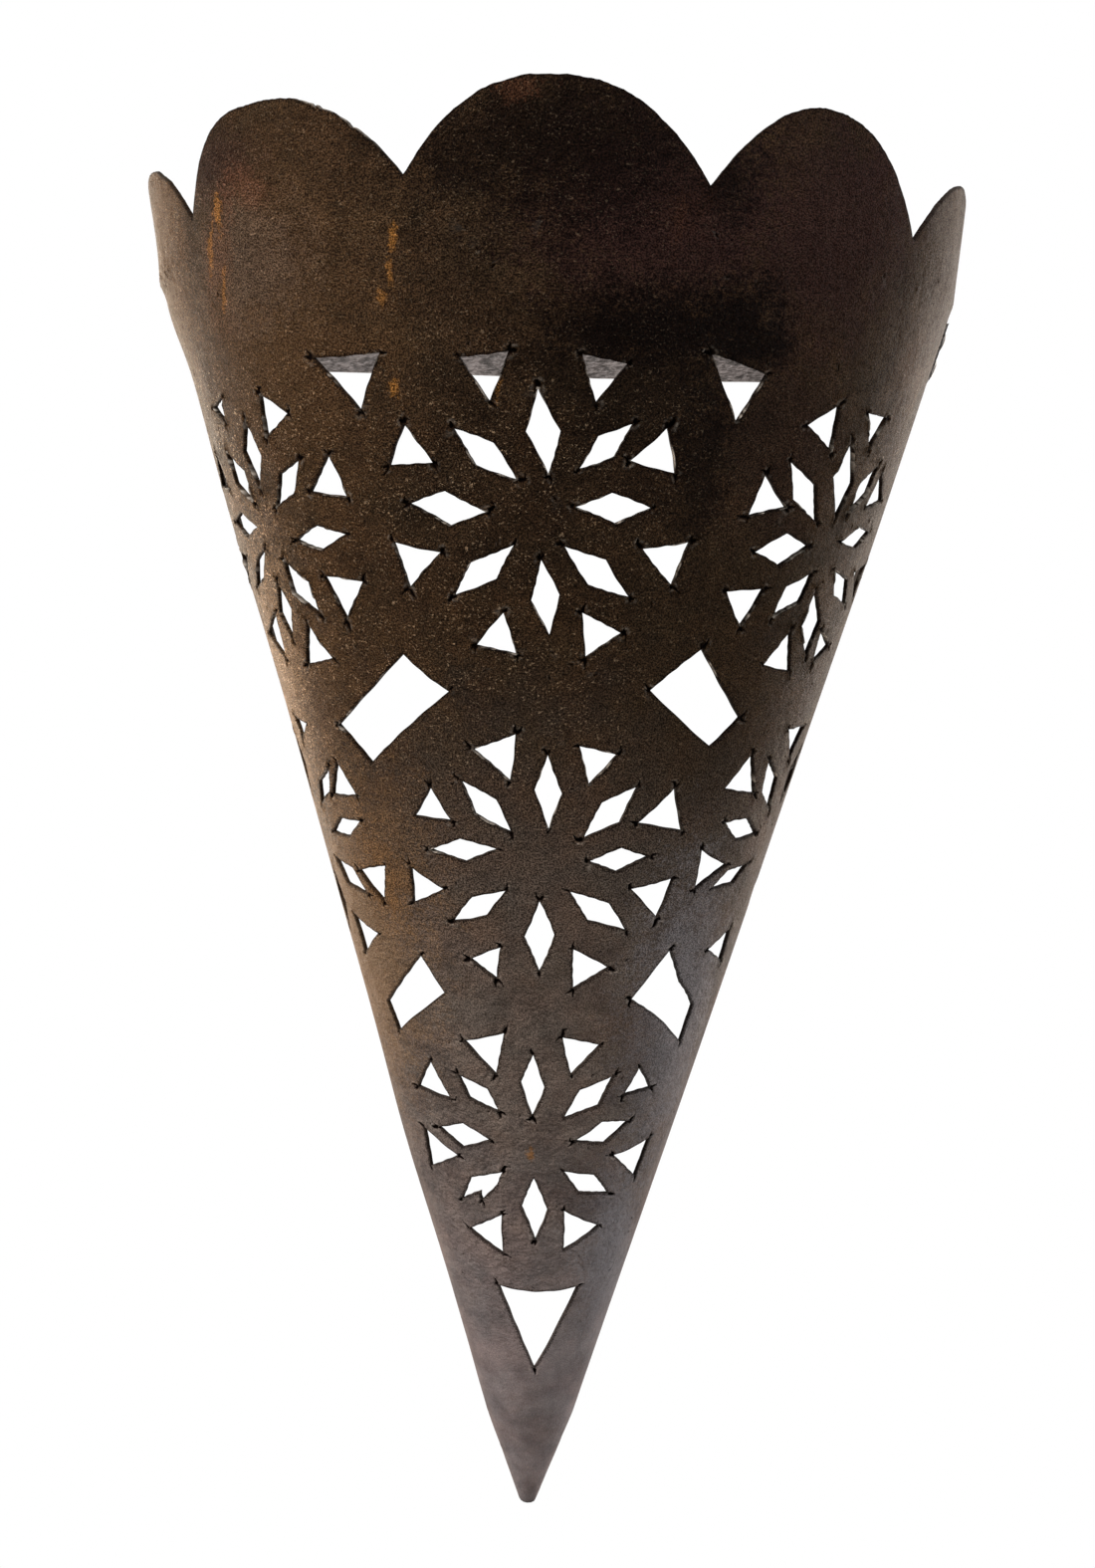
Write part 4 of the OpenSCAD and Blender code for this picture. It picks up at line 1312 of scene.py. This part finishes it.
class SCONCE_OT_rivets(bpy.types.Operator):
    """Models one rivet and copies it to its four places"""

    bl_idname = "sconce.rivets"
    bl_label = "Rivets"

    def execute(self, context):
        settings = context.scene.sconce_rivets
        strap = context.scene.sconce_strap
        pattern = self.model(context, settings, strap, context.scene.sconce_shade)
        material = rivet_material(settings, context.scene.sconce_shade.rust, shared_groups())
        for number, (name, height, angle) in enumerate(rivet_places(settings)):
            rivet = bpy.data.objects.new(name + "_iron", pattern.data.copy())
            context.scene.collection.objects.link(rivet)
            self.hammer(rivet, number)
            rivet.data.transform(on_cone(height, angle))
            mount_piece(rivet, name, material)
        bpy.data.objects.remove(pattern)
        return {"FINISHED"}

    def model(self, context, settings, strap, shade):
        """One rivet along z, with the sheet's outside at zero and its head up."""
        head_seat = strap.gap + strap.thickness - strap.thinning + settings.seat_gap
        tail_seat = shade.sheet_thickness + settings.seat_gap
        bpy.ops.object.select_all(action="DESELECT")
        bpy.ops.mesh.primitive_cylinder_add(vertices=32, radius=settings.shank / 2,
                                            depth=head_seat + tail_seat,
                                            location=(0, 0, (head_seat - tail_seat) / 2))
        rivet = context.object
        bpy.ops.object.transform_apply(location=True, rotation=False, scale=False)
        head, rise = settings.head / 2, settings.head_rise
        dome = [(0, head), (0.3 * rise, head)]
        for turn in (25, 45, 62, 78):
            slant = math.radians(turn)
            dome.append(((0.3 + 0.7 * math.sin(slant)) * rise, head * math.cos(slant)))
        self.grow(rivet, 1, head_seat, settings.shank / 2, dome)
        tail, drop = settings.tail / 2, settings.tail_rise
        self.grow(rivet, -1, tail_seat, settings.shank / 2,
                  [(0, tail), (0.45 * drop, tail), (0.85 * drop, tail * 0.86), (drop, tail * 0.5)])
        apply_modifier(rivet, "SUBSURF", levels=1, render_levels=1)
        smooth_below(rivet, 50)
        return rivet

    def grow(self, rivet, way, start, radius, rings):
        """Extrudes one end of the shank through rings of height and radius."""
        make_active(rivet)
        bpy.ops.object.mode_set(mode="EDIT")
        bpy.ops.mesh.select_mode(type="FACE")
        bpy.ops.mesh.select_all(action="DESELECT")
        bpy.ops.object.mode_set(mode="OBJECT")
        for polygon in rivet.data.polygons:
            polygon.select = polygon.normal.z * way > 0.9
        bpy.ops.object.mode_set(mode="EDIT")
        height = 0.0
        for ring_height, ring_radius in rings:
            step = (0, 0, way * (ring_height - height))
            bpy.ops.mesh.extrude_region_move(TRANSFORM_OT_translate={"value": step})
            scale = ring_radius / radius
            middle = (0, 0, way * (start + ring_height))
            bpy.ops.transform.resize(value=(scale, scale, 1), center_override=middle)
            height, radius = ring_height, ring_radius
        bpy.ops.object.mode_set(mode="OBJECT")

    def hammer(self, rivet, number):
        """Hammer marks on the head and the tail, different on each rivet."""
        normals = [vertex.normal.copy() for vertex in rivet.data.vertices]
        for vertex, normal in zip(rivet.data.vertices, normals):
            at = vertex.co / MM
            blow = noise.noise(Vector((at.x * 0.55, at.y * 0.55, at.z * 0.55 + number * 7.3)))
            vertex.co += normal * (blow - 0.4) * 0.22 * MM * min(1.0, at.xy.length / 1.6)


class SCONCE_OT_stage(bpy.types.Operator):
    """Sets the floor, the lights and the camera"""

    bl_idname = "sconce.stage"
    bl_label = "Studio Stage"

    def execute(self, context):
        settings = context.scene.sconce_stage
        context.scene.view_settings.view_transform = "Standard"
        self.camera(context, settings)
        self.floor(context, settings)
        for name, place, size, tint in LAMPS:
            self.lamp(context, name + "_light", place, size, tint, getattr(settings, name + "_power"))
        self.surroundings(context, settings)
        return {"FINISHED"}

    def camera(self, context, settings):
        """A camera where the photograph was taken from."""
        turn = [math.radians(angle) for angle in EYE_TURN]
        bpy.ops.object.camera_add(location=EYE, rotation=turn)
        camera = context.object
        camera.name = "photo_camera"
        camera.data.lens = settings.lens
        camera.data.sensor_width = SENSOR_WIDTH
        context.scene.camera = camera

    def floor(self, context, settings):
        """A pale round floor well under the point."""
        bpy.ops.object.select_all(action="DESELECT")
        place = (0, -0.1, SHADE_LOW.z - settings.floor_drop)
        bpy.ops.mesh.primitive_circle_add(vertices=96, radius=1.1, fill_type="NGON", location=place)
        floor = context.object
        floor.name = "pale_floor"
        material, bench, shader = new_material("floor_white")
        spot = bench.add("ShaderNodeTexCoord").outputs["Object"]
        speckle = bench.between(bench.clouds(spot, 30.0, 3.0), 0.3, 0.7, 0.84, 0.88)
        bench.feed(shader.inputs["Base Color"], bench.grey(speckle))
        shader.inputs["Roughness"].default_value = 0.9
        floor.data.materials.append(material)

    def lamp(self, context, name, place, size, tint, power):
        """A soft lamp of some width and height aimed at the upper half of the sconce."""
        turn = (LAMP_AIM - Vector(place)).to_track_quat("-Z", "Y").to_euler()
        bpy.ops.object.light_add(type="AREA", location=place, rotation=turn)
        lamp = context.object
        lamp.name = name
        lamp.data.shape = "RECTANGLE"
        lamp.data.size, lamp.data.size_y = size
        lamp.data.energy = power
        lamp.data.color = tint

    def surroundings(self, context, settings):
        """White to the camera, and to the metal white at the sides and back and dark on the camera's side."""
        world = bpy.data.worlds.new("studio")
        context.scene.world = world
        world.use_nodes = True
        world.node_tree.nodes.clear()
        bench = NodeBench(world.node_tree)
        way = bench.add("ShaderNodeTexCoord").outputs["Generated"]
        parts = bench.add("ShaderNodeSeparateXYZ", {0: way}).outputs
        behind = bench.between(parts["Y"], -0.05, 0.5, 0.02, 1.0)
        below = bench.between(parts["Z"], -0.3, -0.75, 0.0, 1.0)
        sheen = bench.calc("MAXIMUM", behind, below)
        path = bench.add("ShaderNodeLightPath").outputs
        shown = bench.calc("MAXIMUM", path["Is Camera Ray"], path["Is Transmission Ray"])
        level = bench.add("ShaderNodeMix", {0: path["Is Glossy Ray"], 2: settings.ambient, 3: sheen},
                          data_type="FLOAT").outputs[0]
        strength = bench.calc("MAXIMUM", shown, level)
        background = bench.add("ShaderNodeBackground", {"Color": (1, 1, 1), "Strength": strength})
        output = bench.add("ShaderNodeOutputWorld")
        bench.feed(output.inputs["Surface"], background.outputs[0])


class SCONCE_PT_panel(bpy.types.Panel):
    """Lists the sconce's pieces and their settings"""

    bl_idname = "SCONCE_PT_panel"
    bl_label = "Pierced Iron Sconce"
    bl_space_type = "VIEW_3D"
    bl_region_type = "UI"
    bl_category = "Sconce"

    def draw(self, context):
        for operator, settings in PIECES:
            self.layout.operator(operator.bl_idname)
            group = getattr(context.scene, settings)
            for name in group.__annotations__:
                self.layout.prop(group, name)


PIECES = ((SCONCE_OT_shade, "sconce_shade"), (SCONCE_OT_strap, "sconce_strap"),
          (SCONCE_OT_rivets, "sconce_rivets"), (SCONCE_OT_stage, "sconce_stage"))
SETTINGS = {"sconce_shade": SconceShadeSettings, "sconce_strap": SconceStrapSettings,
            "sconce_rivets": SconceRivetSettings, "sconce_stage": SconceStageSettings}
CLASSES = (*SETTINGS.values(), SCONCE_OT_shade, SCONCE_OT_strap, SCONCE_OT_rivets, SCONCE_OT_stage,
           SCONCE_PT_panel)


def register():
    """Registers the classes and gives the scene their settings."""
    for item in CLASSES:
        bpy.utils.register_class(item)
    for name, kind in SETTINGS.items():
        setattr(bpy.types.Scene, name, PointerProperty(type=kind))


def unregister():
    """Takes back what register gave."""
    for name in SETTINGS:
        delattr(bpy.types.Scene, name)
    for item in reversed(CLASSES):
        bpy.utils.unregister_class(item)


def main():
    """Builds the pieces and the stage."""
    register()
    bpy.ops.sconce.shade()
    bpy.ops.sconce.strap()
    bpy.ops.sconce.rivets()
    bpy.ops.sconce.stage()


if __name__ == "__main__":
    main()
